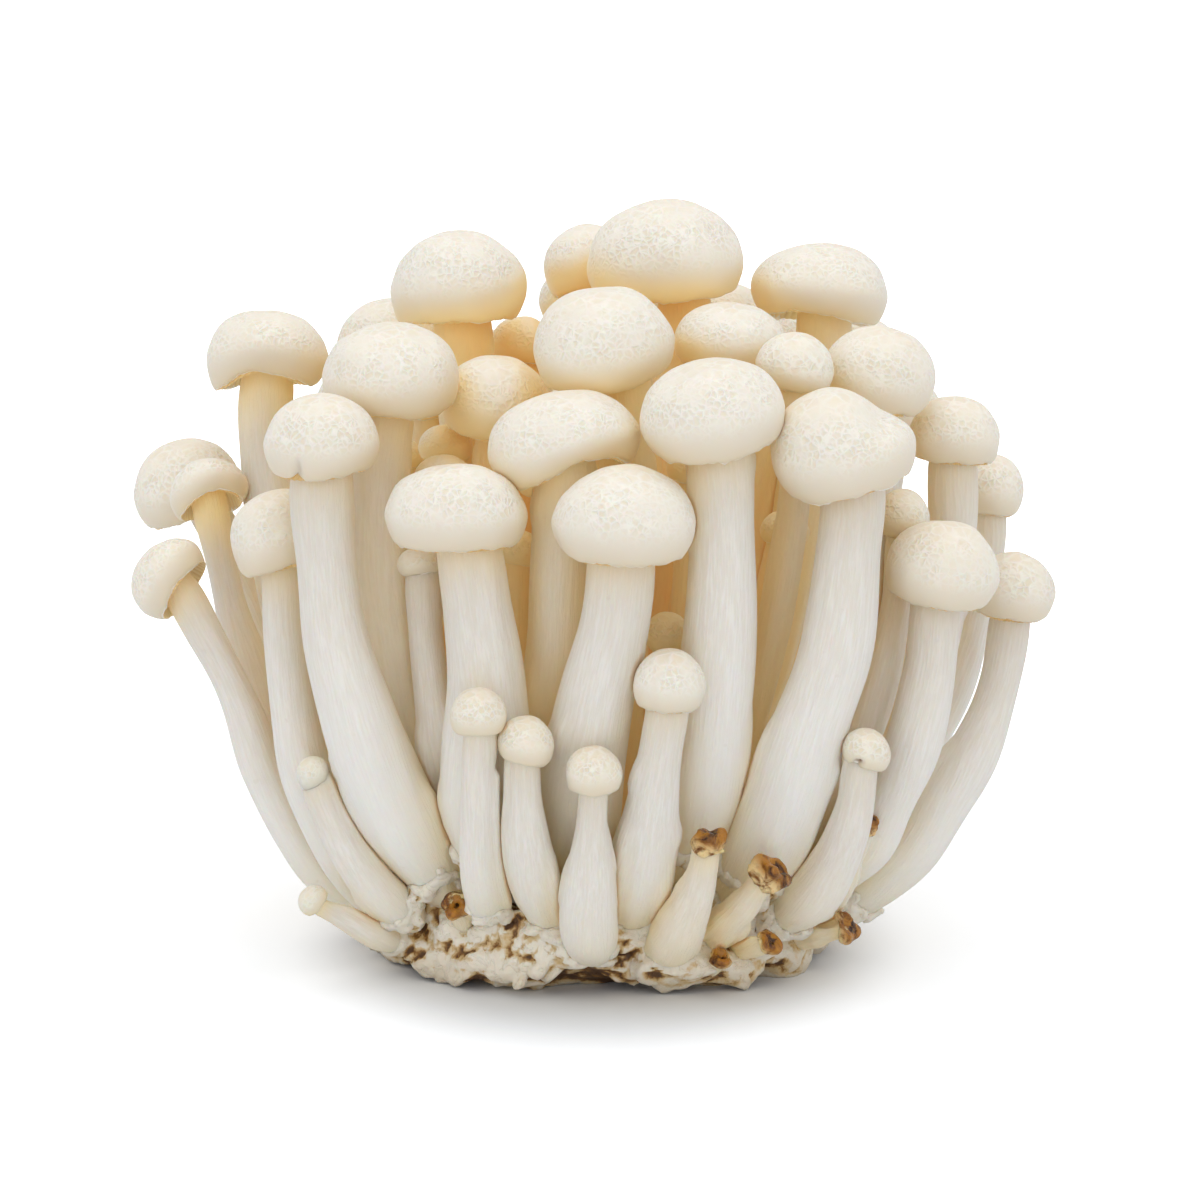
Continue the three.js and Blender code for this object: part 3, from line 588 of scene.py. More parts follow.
# %% Stem and cap grids
SHRUNK_NECK = 0.86  # the cap's skin starts inside the stem
STEM_END = 0.8  # and this much narrower
NECK_TUCK = 0.45  # the stem runs on into the cap by this share of the way to the crown
FEWEST_STEM_RINGS = 24
FEWEST_CAP_RINGS = 18


def with_golden_shade(points, values):
    """Points with their painted golden shade as a fourth coordinate."""
    return np.concatenate([points, values[..., None]], axis=2)


def stem_grid(name, sides, spacing):
    """Smooth rings from the foot to inside the cap, each point with its painted shade, and their distances.
    """
    foot, rings, crown = skins[name]
    few = rings.shape[1]
    rings4 = with_golden_shade(rings, golden_shades[name])[:STEM_RINGS]
    tip = np.tile(np.append(foot, rings4[0, :, 3].mean()), (1, few, 1))
    neck = rings4[-1]
    middle = neck.mean(0)
    axis = crown - middle[:3]
    inside = middle + (neck - middle) * STEM_END
    inside[:, :3] += axis * NECK_TUCK
    stations = around(np.concatenate([tip, rings4, inside[None]]), sides)
    knots = distances(stations)
    at = np.linspace(0, knots[-1], max(FEWEST_STEM_RINGS, round(knots[-1] / spacing)))
    return along(stations, knots, at), at


def cap_stations(name, sides):
    """The cap's rings from inside the stem, under the cap, round the lip, over the crown and beyond."""
    _, rings, crown = skins[name]
    rings4 = with_golden_shade(rings, golden_shades[name])
    neck = rings4[STEM_RINGS - 1]
    middle = neck.mean(0)
    tuck = middle + (neck - middle) * SHRUNK_NECK
    tuck[:, 3] = rings4[STEM_RINGS, :, 3]
    stations = around(np.concatenate([tuck[None], rings4[STEM_RINGS:]]), sides)
    top = np.tile(np.append(crown, rings4[-1, :, 3].mean()), (1, sides, 1))
    beyond = np.roll(stations[-1:], sides // 2, axis=1)
    stations = np.concatenate([stations, top, beyond])
    return stations, distances(stations)


def cap_grid(name, sides, spacing):
    """Smooth rings of a cap up to its crown, their distances, and the CAD rings' distances."""
    stations, knots = cap_stations(name, sides)
    at = np.linspace(0, knots[-2], max(FEWEST_CAP_RINGS, round(knots[-2] / spacing)))
    return along(stations, knots, at), at, knots


print("stem and cap grids ready")

# %% [markdown]
# ## Where mushrooms touch
#
# Where two mushrooms press together a thin golden line of shade is painted. To find it, every point asks
# how far away the nearest other mushroom is. The others are kept in search trees made from coarser copies
# of the smooth skins. Skins that nearly touch also grow towards each other, as flesh that is pressed does.

# %% Neighbours
COARSE_SIDES = 24
COARSE_SPACING = 2.2 * MM
TOUCH_REACH = 3.0 * MM
SWELL_REACH = {"stem": 2.6 * MM, "cap": 0.7 * MM}  # the widest gap that still shrinks
SWELL_FULL = 0.45  # gaps up to this share of the reach close fully
AHEAD_FROM = 0.72  # how straight ahead a neighbour has to lie before the skin grows towards it
AHEAD_SPAN = 0.23


def tube_faces(rings, sides):
    """The four-sided faces between rings of points numbered row by row."""
    r, i = np.meshgrid(np.arange(rings - 1), np.arange(sides), indexing="ij")
    a = r * sides + i
    b = r * sides + (i + 1) % sides
    return np.stack([a, b, b + sides, a + sides], axis=2).reshape(-1, 4)


def coarse_skin(name):
    """Points and faces of a coarser smooth skin."""
    stem, _ = stem_grid(name, COARSE_SIDES, COARSE_SPACING)
    cap, _, _ = cap_grid(name, COARSE_SIDES, COARSE_SPACING)
    points = np.concatenate([stem[..., :3].reshape(-1, 3), cap[..., :3].reshape(-1, 3)])
    faces = np.concatenate(
        [
            tube_faces(len(stem), COARSE_SIDES),
            tube_faces(len(cap), COARSE_SIDES) + len(stem) * COARSE_SIDES,
        ]
    )
    return points, faces


coarse = {name: coarse_skin(name) for name in skins}
coarse_boxes = {name: (points.min(0), points.max(0)) for name, (points, _) in coarse.items()}


def neighbours_tree(name):
    """A search tree of the mushrooms that come near this one."""
    low, high = coarse_boxes[name]
    points, faces, count = [], [], 0
    for other in skins:
        other_low, other_high = coarse_boxes[other]
        apart = np.maximum(other_low - high, low - other_high).max()
        if other == name or apart > TOUCH_REACH:
            continue
        points += coarse[other][0].tolist()
        faces += (coarse[other][1] + count).tolist()
        count = len(points)
    return BVHTree.FromPolygons(points, faces)


def gaps(tree, points, normals):
    """How far each point is from a neighbour's skin, up to the reach, and how straight ahead that is."""
    gap = np.full(len(points), TOUCH_REACH)
    ahead = np.zeros(len(points))
    for k, point in enumerate(points):
        found, normal, _, distance = tree.find_nearest(point, TOUCH_REACH)
        if distance is None:
            continue
        way = found - Vector(point)
        inside = way.dot(normal) > 0
        gap[k] = 0.0 if inside else distance
        ahead[k] = max(0.0, way.normalized().dot(Vector(normals[k])))
    return gap, ahead


def swelling(gap, ahead, is_stem):
    """How far a skin grows towards its neighbour so that the two meet half way."""
    reach = np.where(is_stem, SWELL_REACH["stem"], SWELL_REACH["cap"])
    fade = np.clip((1 - gap / reach) / (1 - SWELL_FULL), 0, 1)
    return 0.5 * gap * fade * np.clip((ahead - AHEAD_FROM) / AHEAD_SPAN, 0, 1)


print(f"{sum(len(f) for _, f in coarse.values())} coarse faces to search")

# %% [markdown]
# ## The finishes
#
# The flesh has three effects: a golden tint where it is sheltered or pressed, which is painted shade with a
# painted glow, the lengthwise fibres of a stem, and the net of pale lines on a cap. The mesh carries what
# they
# need as attributes: the painted golden shade, touch, rise (from foot to neck, or from lip to crown), grain
# (a place along the fibres) and cells (how fine the net is).

# %% The golden tint
# Painted shade and light: the golden colours that flesh takes in shade deep in the bunch, also used for its
# glow.
SHADE_GOLD = paint(248, 224, 168)
DEEP_SHADE_GOLD = paint(246, 199, 108)
CONTACT_SHADE_COLOUR = paint(232, 186, 116)  # painted shade where two mushrooms touch
BLACK = paint(0, 0, 0)


def golden(tree, flesh, warmth):
    """Flesh with painted golden shade and painted contact shade, and its glow, which is painted light."""
    flesh = blend(tree, spread(tree, warmth, 0.0, 0.5), flesh, SHADE_GOLD)
    flesh = blend(tree, spread(tree, warmth, 0.42, 0.9), flesh, DEEP_SHADE_GOLD)
    contact_shade = maths(tree, "MULTIPLY", spread(tree, attribute(tree, "touch"), 0.84, 0.99), 0.45)
    # Painted light: a faint golden glow where the painted shade is deep.
    glow = blend(tree, spread(tree, warmth, 0.02, 0.7, 0.0, 0.2), BLACK, SHADE_GOLD)
    return blend(tree, contact_shade, flesh, CONTACT_SHADE_COLOUR, "MULTIPLY"), glow


print("golden tint ready")

# %% Fibres


def fibres(tree):
    """Streaks along a stem, from 0 to 1."""
    grain = attribute(tree, "grain", "Vector")
    fine = spread(tree, noise(tree, grain, 3.4, 4.0, 0.65), 0.32, 0.68)
    broad = maths(tree, "MULTIPLY", noise(tree, grain, 0.7, 2.0), 0.4)
    return maths(tree, "MULTIPLY_ADD", fine, 0.6, broad)


print("fibres ready")

# %% The cap's net
WARP = 0.42 * MM
FINER = 2.0  # the fine cells are this much smaller than the broad ones
BROAD_NET = (0.02, 0.14, 1.0, 0.0), (0.08, 0.3)  # how lines and dimples fade with the way from a line
FINE_NET = (0.02, 0.18, 0.9, 0.0), (0.1, 0.36)


def cap_net(tree, place, fineness, reach):
    """The net's lines and the dimples between them, broad where the fineness is 0 and fine where it is 1."""
    wander = noise(tree, place, 800.0, 2.0, output="Color")
    wander = vector_maths(tree, "SUBTRACT", wander, (0.5, 0.5, 0.5))
    bent = vector_maths(tree, "ADD", place, vector_maths(tree, "MULTIPLY", wander, (2 * WARP,) * 3))
    cells = attribute(tree, "cells")
    nets = []
    for scale, fades in ((cells, BROAD_NET), (maths(tree, "MULTIPLY", cells, FINER), FINE_NET)):
        edges = node(tree, "TexVoronoi", {"Vector": bent, "Scale": scale}, feature="DISTANCE_TO_EDGE")
        nets.append([spread(tree, edges.outputs["Distance"], *fade) for fade in fades])
    patchy = spread(tree, noise(tree, place, 330.0, 3.0), 0.34, 0.6, 0.25, 1.0)
    shown = maths(tree, "MULTIPLY", patchy, reach)
    both = [node(tree, "Mix", {0: fineness, 2: broad, 3: fine}).outputs[0] for broad, fine in zip(*nets)]
    return [maths(tree, "MULTIPLY", share, shown) for share in both]


print("cap's net ready")

# %% Helpers for flesh


def new_material(name):
    """A material, its node tree and its Principled shader."""
    material = bpy.data.materials.new(name)
    material.use_nodes = True
    tree = material.node_tree
    return material, tree, tree.nodes["Principled BSDF"]


def make_fleshy(tree, shader, colour, glow, roughness, through):
    """Satin flesh that a share of the light passes into, and that glows a little: painted light."""
    wire(tree, shader, {
        "Base Color": colour,
        "Roughness": roughness,
        "Specular IOR Level": 0.35,
        "Subsurface Weight": through,
        "Subsurface Radius": (1.0, 0.62, 0.36),
        "Subsurface Scale": 2.0 * MM,
        # Painted light: the flesh glows where it is golden, for light passing through it.
        "Emission Color": glow,
        "Emission Strength": 0.3,
        "Sheen Weight": 0.18,
        "Sheen Roughness": 0.35,
    })


print("flesh ready to be coloured")

# %% [markdown]
# ## Stems
#
# A stem is off-white with fine streaks along it, and stained where it rubbed against the block. Its foot is
# painted whiter, painted light, and its neck duller, painted shade under the cap. A painted picture could be
# wrapped round each, but its streaks would stretch where the stem swells, so they are noise drawn out along
# the stem's own length.

# %% Stem
stem_material, tree, shader = new_material("stem_flesh")
streaks = fibres(tree)
place = place_on(tree)
rise = attribute(tree, "rise")
low_down = spread(tree, rise, 0.0, 0.3, 1.0, 0.1)
stain = maths(tree, "MULTIPLY", spread(tree, noise(tree, place, 120.0, 5.0, 0.62), 0.5, 0.7), low_down)
specks = maths(tree, "MULTIPLY", spread(tree, noise(tree, place, 700.0, 1.0), 0.74, 0.8), low_down)
# Painted light makes the foot whiter, and painted shade makes the neck under the cap duller.
foot = spread(tree, rise, 0.2, 0.7, 1.0, 0.0)
neck = spread(tree, rise, 0.6, 1.0)
flesh = painted(
    tree,
    blend(tree, streaks, paint(229, 223, 212), paint(244, 241, 236)),
    (stain, 0.4, (226, 206, 170)),
    (foot, 0.9, (250, 248, 244)),
    (neck, 0.45, (214, 204, 186)),
    (specks, 0.6, (150, 112, 66)),
)
flesh, glow = golden(tree, flesh, attribute(tree, "warmth"))
make_fleshy(tree, shader, flesh, glow, roughness=0.5, through=0.5)
wire(tree, shader, {"Normal": bump(tree, streaks, 0.8, 0.1)})
print("stem_flesh ready")

# %% [markdown]
# ## Caps and gills
#
# A cap is creamier at the crown. Its lower band is painted creamier, as painted shade, and its lip whitest,
# as a painted highlight with a faint painted glow. The pale net covers the upper part, broad on the crown and
# finer lower down. The gills are seen only in the hollow of an open cap, where light comes through the flesh:
# that light is painted on them as a glow, and they are painted darker between their folds, as painted shade.

# %% Cap
cap_material, tree, shader = new_material("cap_skin")
place = place_on(tree)
rise = attribute(tree, "rise")
reach = maths(tree, "MULTIPLY", spread(tree, rise, 0.16, 0.42), spread(tree, rise, 0.55, 1.0, 1.0, 0.6))
lines, dimples = cap_net(tree, place, spread(tree, rise, 0.5, 0.85, 1.0, 0.0), reach)
mottle = noise(tree, place, 160.0, 3.0)
white = blend(tree, mottle, paint(239, 233, 220), paint(244, 239, 229))
cream = blend(tree, mottle, paint(238, 226, 204), paint(243, 233, 214))
crown = spread(tree, rise, 0.5, 1.0)
# Painted shade: the lower band of the cap is made creamier.
low = spread(tree, rise, 0.0, 0.4, 1.0, 0.0)
# A painted highlight: the lip is made whitest.
lip_highlight = spread(tree, rise, 0.008, 0.035, 1.0, 0.0)
skin = painted(
    tree,
    blend(tree, attribute(tree, "ivory"), white, cream),
    (crown, 0.5, (240, 228, 206)),
    (low, 0.75, (224, 208, 180)),
    (dimples, 0.4, (232, 216, 180)),
    (lines, 0.65, (253, 249, 240)),
    (lip_highlight, 1.0, (255, 250, 240)),
    (attribute(tree, "stain"), 1.0, (120, 78, 38)),
)
# Less golden shade is painted at the lip.
less_shade_at_lip = maths(tree, "MULTIPLY_ADD", lip_highlight, -0.7, 1.0)
skin, glow = golden(tree, skin, maths(tree, "MULTIPLY", attribute(tree, "warmth"), less_shade_at_lip))
# A faint painted glow along the lip.
glow = painted(tree, glow, (lip_highlight, 0.3, (244, 240, 228)))
make_fleshy(tree, shader, skin, glow, roughness=0.42, through=0.4)
wire(tree, shader, {"Normal": bump(tree, maths(tree, "SUBTRACT", lines, dimples), 0.85, 0.07)})
print("cap_skin ready")

# %% Gills
gill_material, tree, shader = new_material("gills")
rise = attribute(tree, "rise")
# Painted shade: the gills are golden and darker between their folds, and their glow is painted light.
folds = blend(tree, rise, paint(224, 184, 120), paint(242, 216, 168))
folds, _ = golden(tree, folds, attribute(tree, "warmth"))
glow = blend(tree, rise, paint(142, 120, 84), paint(172, 154, 118))
make_fleshy(tree, shader, folds, glow, roughness=0.6, through=0.5)
print("gills ready")

# %% [markdown]
# ## Dried caps
#
# Some buttons stopped growing and dried. Their caps are leathery: straw-coloured at the rim, brown above, and
# almost black where they sank in. Patches of noise decide which part has gone how far.

# %% Dried caps
dried_material, tree, shader = new_material("dried_cap")
place = place_on(tree)
patches = noise(tree, place, 520.0, 5.0, 0.6, 0.8)
fine = noise(tree, place, 1900.0, 3.0)
rise = attribute(tree, "rise")
charred = maths(tree, "ADD", patches, spread(tree, rise, 0.5, 1.0, 0.0, 0.24))
dried = painted(
    tree,
    paint(238, 214, 158),
    (spread(tree, rise, 0.06, 0.5), 1.0, (176, 118, 38)),
    (spread(tree, patches, 0.42, 0.6), 1.0, (126, 78, 24)),
    (spread(tree, charred, 0.58, 0.7), 1.0, (64, 34, 10)),
    (spread(tree, fine, 0.5, 0.75), 0.3, (214, 154, 54)),
)
wire(tree, shader, {
    "Base Color": dried,
    "Normal": bump(tree, fine, 0.6, 0.15),
    "Roughness": spread(tree, fine, 0.35, 0.65, 0.22, 0.5),
    "Subsurface Weight": 0.2,
    "Subsurface Scale": 1.0 * MM,
    "Specular IOR Level": 0.25,
    "Coat Weight": 0.3,
})
print("dried caps ready")

# %% [markdown]
# ## Growing the mushrooms
#
# Each mushroom becomes one mesh: the stem's tube, the cap's shell with its lip, and for the larger caps a
# disc of gills. One modelled mushroom could be bent into sixty places, which would be quicker, but they would
# all look alike.

# %% Mesh parts of one mushroom
LARGE_CAP = 4 * MM
SIDES = {"large": 64, "small": 40}
STEM_SPACING = {"large": 1.2 * MM, "small": 1.1 * MM}
CAP_SPACING = {"large": 0.5 * MM, "small": 0.45 * MM}
GRAIN_STRETCH = 14  # the fibres' pattern is this much longer than it is wide
CELLS = {"large": 620.0, "small": 760.0}  # cells of the net to a metre
LIP_WIDTH = 0.8 * MM
LIP_WAVES = ((0.24, 4.6 * MM, 0), (0.12, 1.4 * MM, 5))  # height in millimetres, length, and seed
FULL_LIP_CAP = 7 * MM  # smaller caps have smaller waves
LAMELLAE = 42
LAMELLA_SIDES = 4
GILL_RINGS = 10
GILL_DEPTH = 0.55 * MM
GILL_SPAN = (0.05, 0.95)  # from the stem to the lip
GILL_CLEARANCE = 0.05 * MM
STEM, CAP, GILLS = 0, 1, 2  # the order of a mushroom's materials


def cap_rings(name):
    """The CAD rings from under the cap to near its crown."""
    return skins[name][1][STEM_RINGS:]


def cap_radius(name):
    """Half the width of the widest cap ring."""
    return max(np.linalg.norm(ring - ring.mean(0), axis=1).mean() for ring in cap_rings(name))


def cap_axis(name):
    """The direction from the rim's middle to the crown."""
    arm = skins[name][2] - cap_rings(name)[1].mean(0)
    return arm / np.linalg.norm(arm)


def stem_part(name, size):
    """Points, faces and attributes of a stem."""
    grid, at = stem_grid(name, SIDES[size], STEM_SPACING[size])
    sides = grid.shape[1]
    turn = 2 * math.pi * np.arange(sides) / sides
    radius = np.linalg.norm(grid[..., :3] - grid[..., :3].mean(1, keepdims=True), axis=2) / MM
    length = np.repeat(at[:, None], sides, 1) / MM / GRAIN_STRETCH
    grain = np.stack([radius * np.cos(turn), radius * np.sin(turn), length], axis=2)
    return {
        "points": grid[..., :3].reshape(-1, 3),
        "faces": tube_faces(len(grid), sides).tolist(),
        "warmth": grid[..., 3].reshape(-1),
        "rise": np.repeat(at / at[-1], sides),
        "grain": grain.reshape(-1, 3),
        "finish": STEM,
    }


def cap_part(name, size):
    """Points, faces and attributes of a cap, closed at the crown, with an uneven lip."""
    grid, at, knots = cap_grid(name, SIDES[size], CAP_SPACING[size])
    sides = grid.shape[1]
    lip, crown_at = knots[2], at[-1]
    points = grid[:-1, :, :3].reshape(-1, 3)
    near_lip = np.repeat(np.exp(-(((at[:-1] - lip) / LIP_WIDTH) ** 2)), sides)
    wave = sum(high * ripple(points, long, len(name) + seed) for high, long, seed in LIP_WAVES)
    share = min(1, cap_radius(name) / FULL_LIP_CAP)
    points = points + cap_axis(name) * (wave * near_lip * share * MM)[:, None]
    crown = len(points)
    last = crown - sides
    faces = tube_faces(len(grid) - 1, sides).tolist()
    faces += [[last + i, last + (i + 1) % sides, crown] for i in range(sides)]
    rise = np.clip((at[:-1] - lip) / (crown_at - lip), 0, 1)
    points = np.concatenate([points, grid[-1, :1, :3]])
    return {
        "points": points,
        "faces": faces,
        "warmth": np.append(grid[:-1, :, 3].reshape(-1), grid[-1, 0, 3]),
        "rise": np.append(np.repeat(rise, sides), 1.0),
        "grain": points / MM,
        "finish": CAP,
    }


def gill_part(name):
    """A pleated disc under the cap, from the stem to just inside the lip."""
    sides = LAMELLAE * LAMELLA_SIDES
    stations, knots = cap_stations(name, sides)
    grid = along(stations, knots, np.linspace(*GILL_SPAN, GILL_RINGS) * knots[2])
    pleat = 0.5 - 0.5 * np.cos(2 * math.pi * np.arange(sides) / LAMELLA_SIDES)
    depth = np.sin(np.linspace(0.12, 1, GILL_RINGS) * math.pi * 0.94) * GILL_DEPTH
    hang = GILL_CLEARANCE + depth[:, None] * pleat
    points = grid[..., :3] - cap_axis(name) * hang[..., None]
    return {
        "points": points.reshape(-1, 3),
        "faces": tube_faces(GILL_RINGS, sides).tolist(),
        "warmth": grid[..., 3].reshape(-1),
        "rise": np.tile(pleat, GILL_RINGS),
        "grain": points.reshape(-1, 3) / MM,
        "finish": GILLS,
    }


def joined(parts):
    """Several parts as one."""
    faces, start = [], 0
    for part in parts:
        faces += [[i + start for i in face] for face in part["faces"]]
        start += len(part["points"])
    out = {
        key: np.concatenate([part[key] for part in parts])
        for key in ("points", "warmth", "rise", "grain")
    }
    out["faces"] = faces
    out["finish"] = np.concatenate([np.full(len(p["faces"]), p["finish"]) for p in parts])
    out["is_stem"] = np.concatenate([np.full(len(p["points"]), p["finish"] == STEM) for p in parts])
    out["is_cap"] = np.concatenate([np.full(len(p["points"]), p["finish"] == CAP) for p in parts])
    return out


print(f"stems of {SIDES['large']} or {SIDES['small']} sides, gills of {LAMELLAE} folds")

# %% From parts to a Blender object


def vertex_normals(mesh):
    """The direction straight out of a mesh at each of its points."""
    normals = np.empty(len(mesh.vertices) * 3)
    mesh.vertex_normals.foreach_get("vector", normals)
    return normals.reshape(-1, 3)


def set_points(mesh, points):
    """Moves all points of a mesh."""
    mesh.vertices.foreach_set("co", points.reshape(-1))
    mesh.update()


def set_attribute(mesh, name, values):
    """Writes a number or a vector on each point, for the material to read."""
    kind, key = ("FLOAT_VECTOR", "vector") if values.ndim == 2 else ("FLOAT", "value")
    mesh.attributes.new(name, kind, "POINT").data.foreach_set(key, values.reshape(-1))


def make_object(name, body, materials):
    """A smooth-shaded object with its attributes and materials."""
    mesh = bpy.data.meshes.new(name)
    mesh.from_pydata(body["points"].tolist(), [], body["faces"])
    mesh.polygons.foreach_set("material_index", body["finish"])
    mesh.polygons.foreach_set("use_smooth", np.ones(len(mesh.polygons), bool))
    for material in materials:
        mesh.materials.append(material)
    for key in ("warmth", "rise", "grain"):
        set_attribute(mesh, key, body[key])
    mesh.update()
    made = bpy.data.objects.new(name, mesh)
    bpy.context.scene.collection.objects.link(made)
    return made


print("parts can become objects")

# %% [markdown]
# ## What makes them uneven
#
# No stem is perfectly round. A few caps have a notch, a bump or a bruise that catches the eye, so these are
# pressed in one by one. Everything else is uneven by chance: slow waves round the stem and over the cap, fine
# ridges along the stem, and deep wrinkles on the buttons that have dried.

# %% Dents, bumps and wrinkles
# The cap, the place from its middle, the reach and the depth, in millimetres. A depth below 0 is a bump. The
# last value is how dark the place is stained.
MARKS = [
    ("mushroom_front_left", (-2.6, -5.4, -2.9), (0.45, 3, 1.7), 0.9, 0.15),
    ("mushroom_front_right", (-2.0, -1, 6.0), (3.0, 6, 2.4), -0.8, 0),
    ("mushroom_front_right", (4.4, -2, 4.6), (2.4, 8, 2.4), 1.5, 0),
    ("mushroom_left_open", (3.5, -3.0, -1.0), (1.2, 3, 1.4), 0.5, 0),
    ("button_right", (-1.1, -2.6, -0.8), (0.42, 1.6, 0.42), 0.9, 1.0),
    ("button_right", (-1.5, -2.3, -1.9), (0.4, 1.6, 1.1), 0.8, 0.35),
]


def pressed(name, points, normals, is_cap):
    """Points after the marks of this mushroom are pressed in, and how dark each is stained."""
    stain = np.zeros(len(points))
    middle = cap_rings(name)[2].mean(0)
    for owner, place, reach, depth, dark in MARKS:
        if owner != name:
            continue
        away = (points - middle) / MM - np.array(place)
        weight = np.exp(-((away / np.array(reach)) ** 2).sum(1)) * is_cap
        points = points - normals * (weight * depth * MM)[:, None]
        stain = np.maximum(stain, weight * dark)
    return points, stain


NAVEL_DEPTH = 0.9  # millimetres
NAVEL_WIDTH = 0.3  # against the way from lip to crown
COARSER_BELOW = 0.4  # the ridges grow coarser from this share of the stem's length down
COARSER = 2.5


def dried_unevenness(body, seed):
    """Wrinkles and a sunken crown, in millimetres."""
    points = body["points"]
    wrinkles = 0.42 * ripple(points, 3.4 * MM, seed) - 0.3 * np.abs(ripple(points, 2.4 * MM, seed + 1))
    navel = NAVEL_DEPTH * np.exp(-(((1 - body["rise"]) / NAVEL_WIDTH) ** 2))
    return np.where(body["is_cap"], wrinkles - navel, 0.12 * ripple(points, 4 * MM, seed + 2))


def fresh_unevenness(body, seed):
    """Slow waves, and ridges along the stem, in millimetres."""
    points = body["points"]
    ridges = 0.02 * ripple(body["grain"], 1.5, seed + 3) + 0.05 * ripple(body["grain"], 4.0, seed + 4)
    ridges *= 1 + COARSER * np.clip(COARSER_BELOW - body["rise"], 0, 1)
    stem = 0.2 * ripple(points, 16 * MM, seed) + ridges
    cap = 0.14 * ripple(points, 9 * MM, seed + 5) + 0.05 * ripple(points, 3.4 * MM, seed + 6)
    return np.where(body["is_stem"], stem, cap)


print(f"{len(MARKS)} marks on single caps")

# %% One mushroom
SMALL_IVORY = 0.55
IVORY = (0.05, 0.3)  # the least and the most cream-coloured of the large caps


def ivory_of(name):
    """How cream-coloured a cap is: the small ones and those at the sides are the creamiest."""
    if cap_radius(name) < LARGE_CAP:
        return SMALL_IVORY
    aside = abs(skins[name][2][0]) / cad_box[1][0]
    return float(np.clip(0.5 * aside - 0.1, *IVORY))


def grow(name, seed):
    """One mushroom, in place of its CAD node if it has one."""
    large = cap_radius(name) > LARGE_CAP
    size = "large" if large else "small"
    parts = [stem_part(name, size), cap_part(name, size)]
    body = joined(parts + [gill_part(name)] if large else parts)
    dried = name.startswith("dried")
    uneven = dried_unevenness if dried else fresh_unevenness
    made = make_object(
        name.replace("mushroom_", "") + "_mushroom",
        body,
        [stem_material, dried_material if dried else cap_material, gill_material],
    )
    normals = vertex_normals(made.data)
    points = body["points"] + normals * (uneven(body, seed) * MM)[:, None]
    points, stain = pressed(name, points, normals, body["is_cap"])
    gap, ahead = gaps(neighbours_tree(name), points, normals)
    growth = swelling(gap, ahead, body["is_stem"])
    set_points(made.data, points + normals * growth[:, None])
    set_attribute(made.data, "touch", 1 - (gap - 2 * growth) / TOUCH_REACH)
    set_attribute(made.data, "stain", stain)
    set_attribute(made.data, "ivory", np.full(len(points), ivory_of(name)))
    set_attribute(made.data, "cells", np.full(len(points), CELLS[size]))
    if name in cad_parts:
        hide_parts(name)
    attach(made, "root")
    return made


mushrooms = [grow(name, 10 * k) for k, name in enumerate(skins)]
print(f"{len(mushrooms)} mushrooms, {sum(len(m.data.vertices) for m in mushrooms)} points")

# %% [markdown]
# ## The butt
#
# The butt is what is left of the block that the bunch grew on: felted white threads that wrap the feet in
# lobes and folds, torn where the bunch was broken off, with brown crevices and small holes. Sculpting it by
# hand would take long, so it is built as a heap of lumps round the CAD butt, melted into one skin by a voxel
# remesh. The lumps lie mostly sideways, as folds do.

# %% Lumps round the butt
APRON = 3.0 * MM  # how much further the felt spreads in front, on the ground
FRONT_ANGLE = math.radians(-84)
TAPER = 0.12  # how much narrower the felt is at its top
RESTING = 0.95  # a lump's middle is at least this far up, against its height, so that it rests on the ground
VARIED = (0.8, 1.2)

butt_radius = (butt_high[0] - butt_low[0]) / 2
butt_height = butt_high[2]
dice = np.random.default_rng(7)
heap = []


def ball(centre, radii, turn, rows=9, sides=14):
    """Points and faces of a closed ellipsoid, with small holes at its poles closed by one face each."""
    up = np.linspace(0.02, math.pi - 0.02, rows)
    go = 2 * math.pi * np.arange(sides) / sides
    level = np.sin(up)
    tall = np.outer(np.cos(up), np.ones(sides))
    points = np.stack([np.outer(level, np.cos(go)), np.outer(level, np.sin(go)), tall], axis=2)
    points = points.reshape(-1, 3) * radii @ turn.T + centre
    faces = tube_faces(rows, sides).tolist()
    faces += [list(range(sides))[::-1], list(range((rows - 1) * sides, rows * sides))]
    return points, faces


def laid_sideways(angle, tilt):
    """A rotation that turns X along the butt's outline at an angle round it, tilted by another."""
    along_outline = np.array([-math.sin(angle), math.cos(angle), 0.0])
    outward = np.array([math.cos(angle), math.sin(angle), 0.0])
    up = np.array([0.0, 0.0, 1.0])
    long = along_outline * math.cos(tilt) + up * math.sin(tilt)
    tall = up * math.cos(tilt) - along_outline * math.sin(tilt)
    return np.stack([long, outward, tall], axis=1)


def felt_place(angle, height, inward):
    """A place this far inside the felt's outline, at a share of the butt's height."""
    apron = APRON * max(0.0, math.cos(angle - FRONT_ANGLE)) ** 3 * (1 - height)
    radius = butt_radius * (1 - TAPER * height**2) + apron - inward
    return butt_middle + [radius * math.cos(angle), radius * math.sin(angle), height * butt_height]


def heap_up(count, sizes, shape, heights, sunk, tilt):
    """Lumps all round the felt. The shape is a lump's length, depth and height against its size."""
    for _ in range(count):
        angle = dice.uniform(0, 2 * math.pi)
        size = dice.uniform(*sizes) * MM
        radii = size * np.array(shape) * dice.uniform(*VARIED, 3)
        centre = felt_place(angle, dice.uniform(*heights), sunk * radii[1])
        centre[2] = max(centre[2], RESTING * radii[2])
        heap.append(ball(centre, radii, laid_sideways(angle, dice.normal() * tilt)))


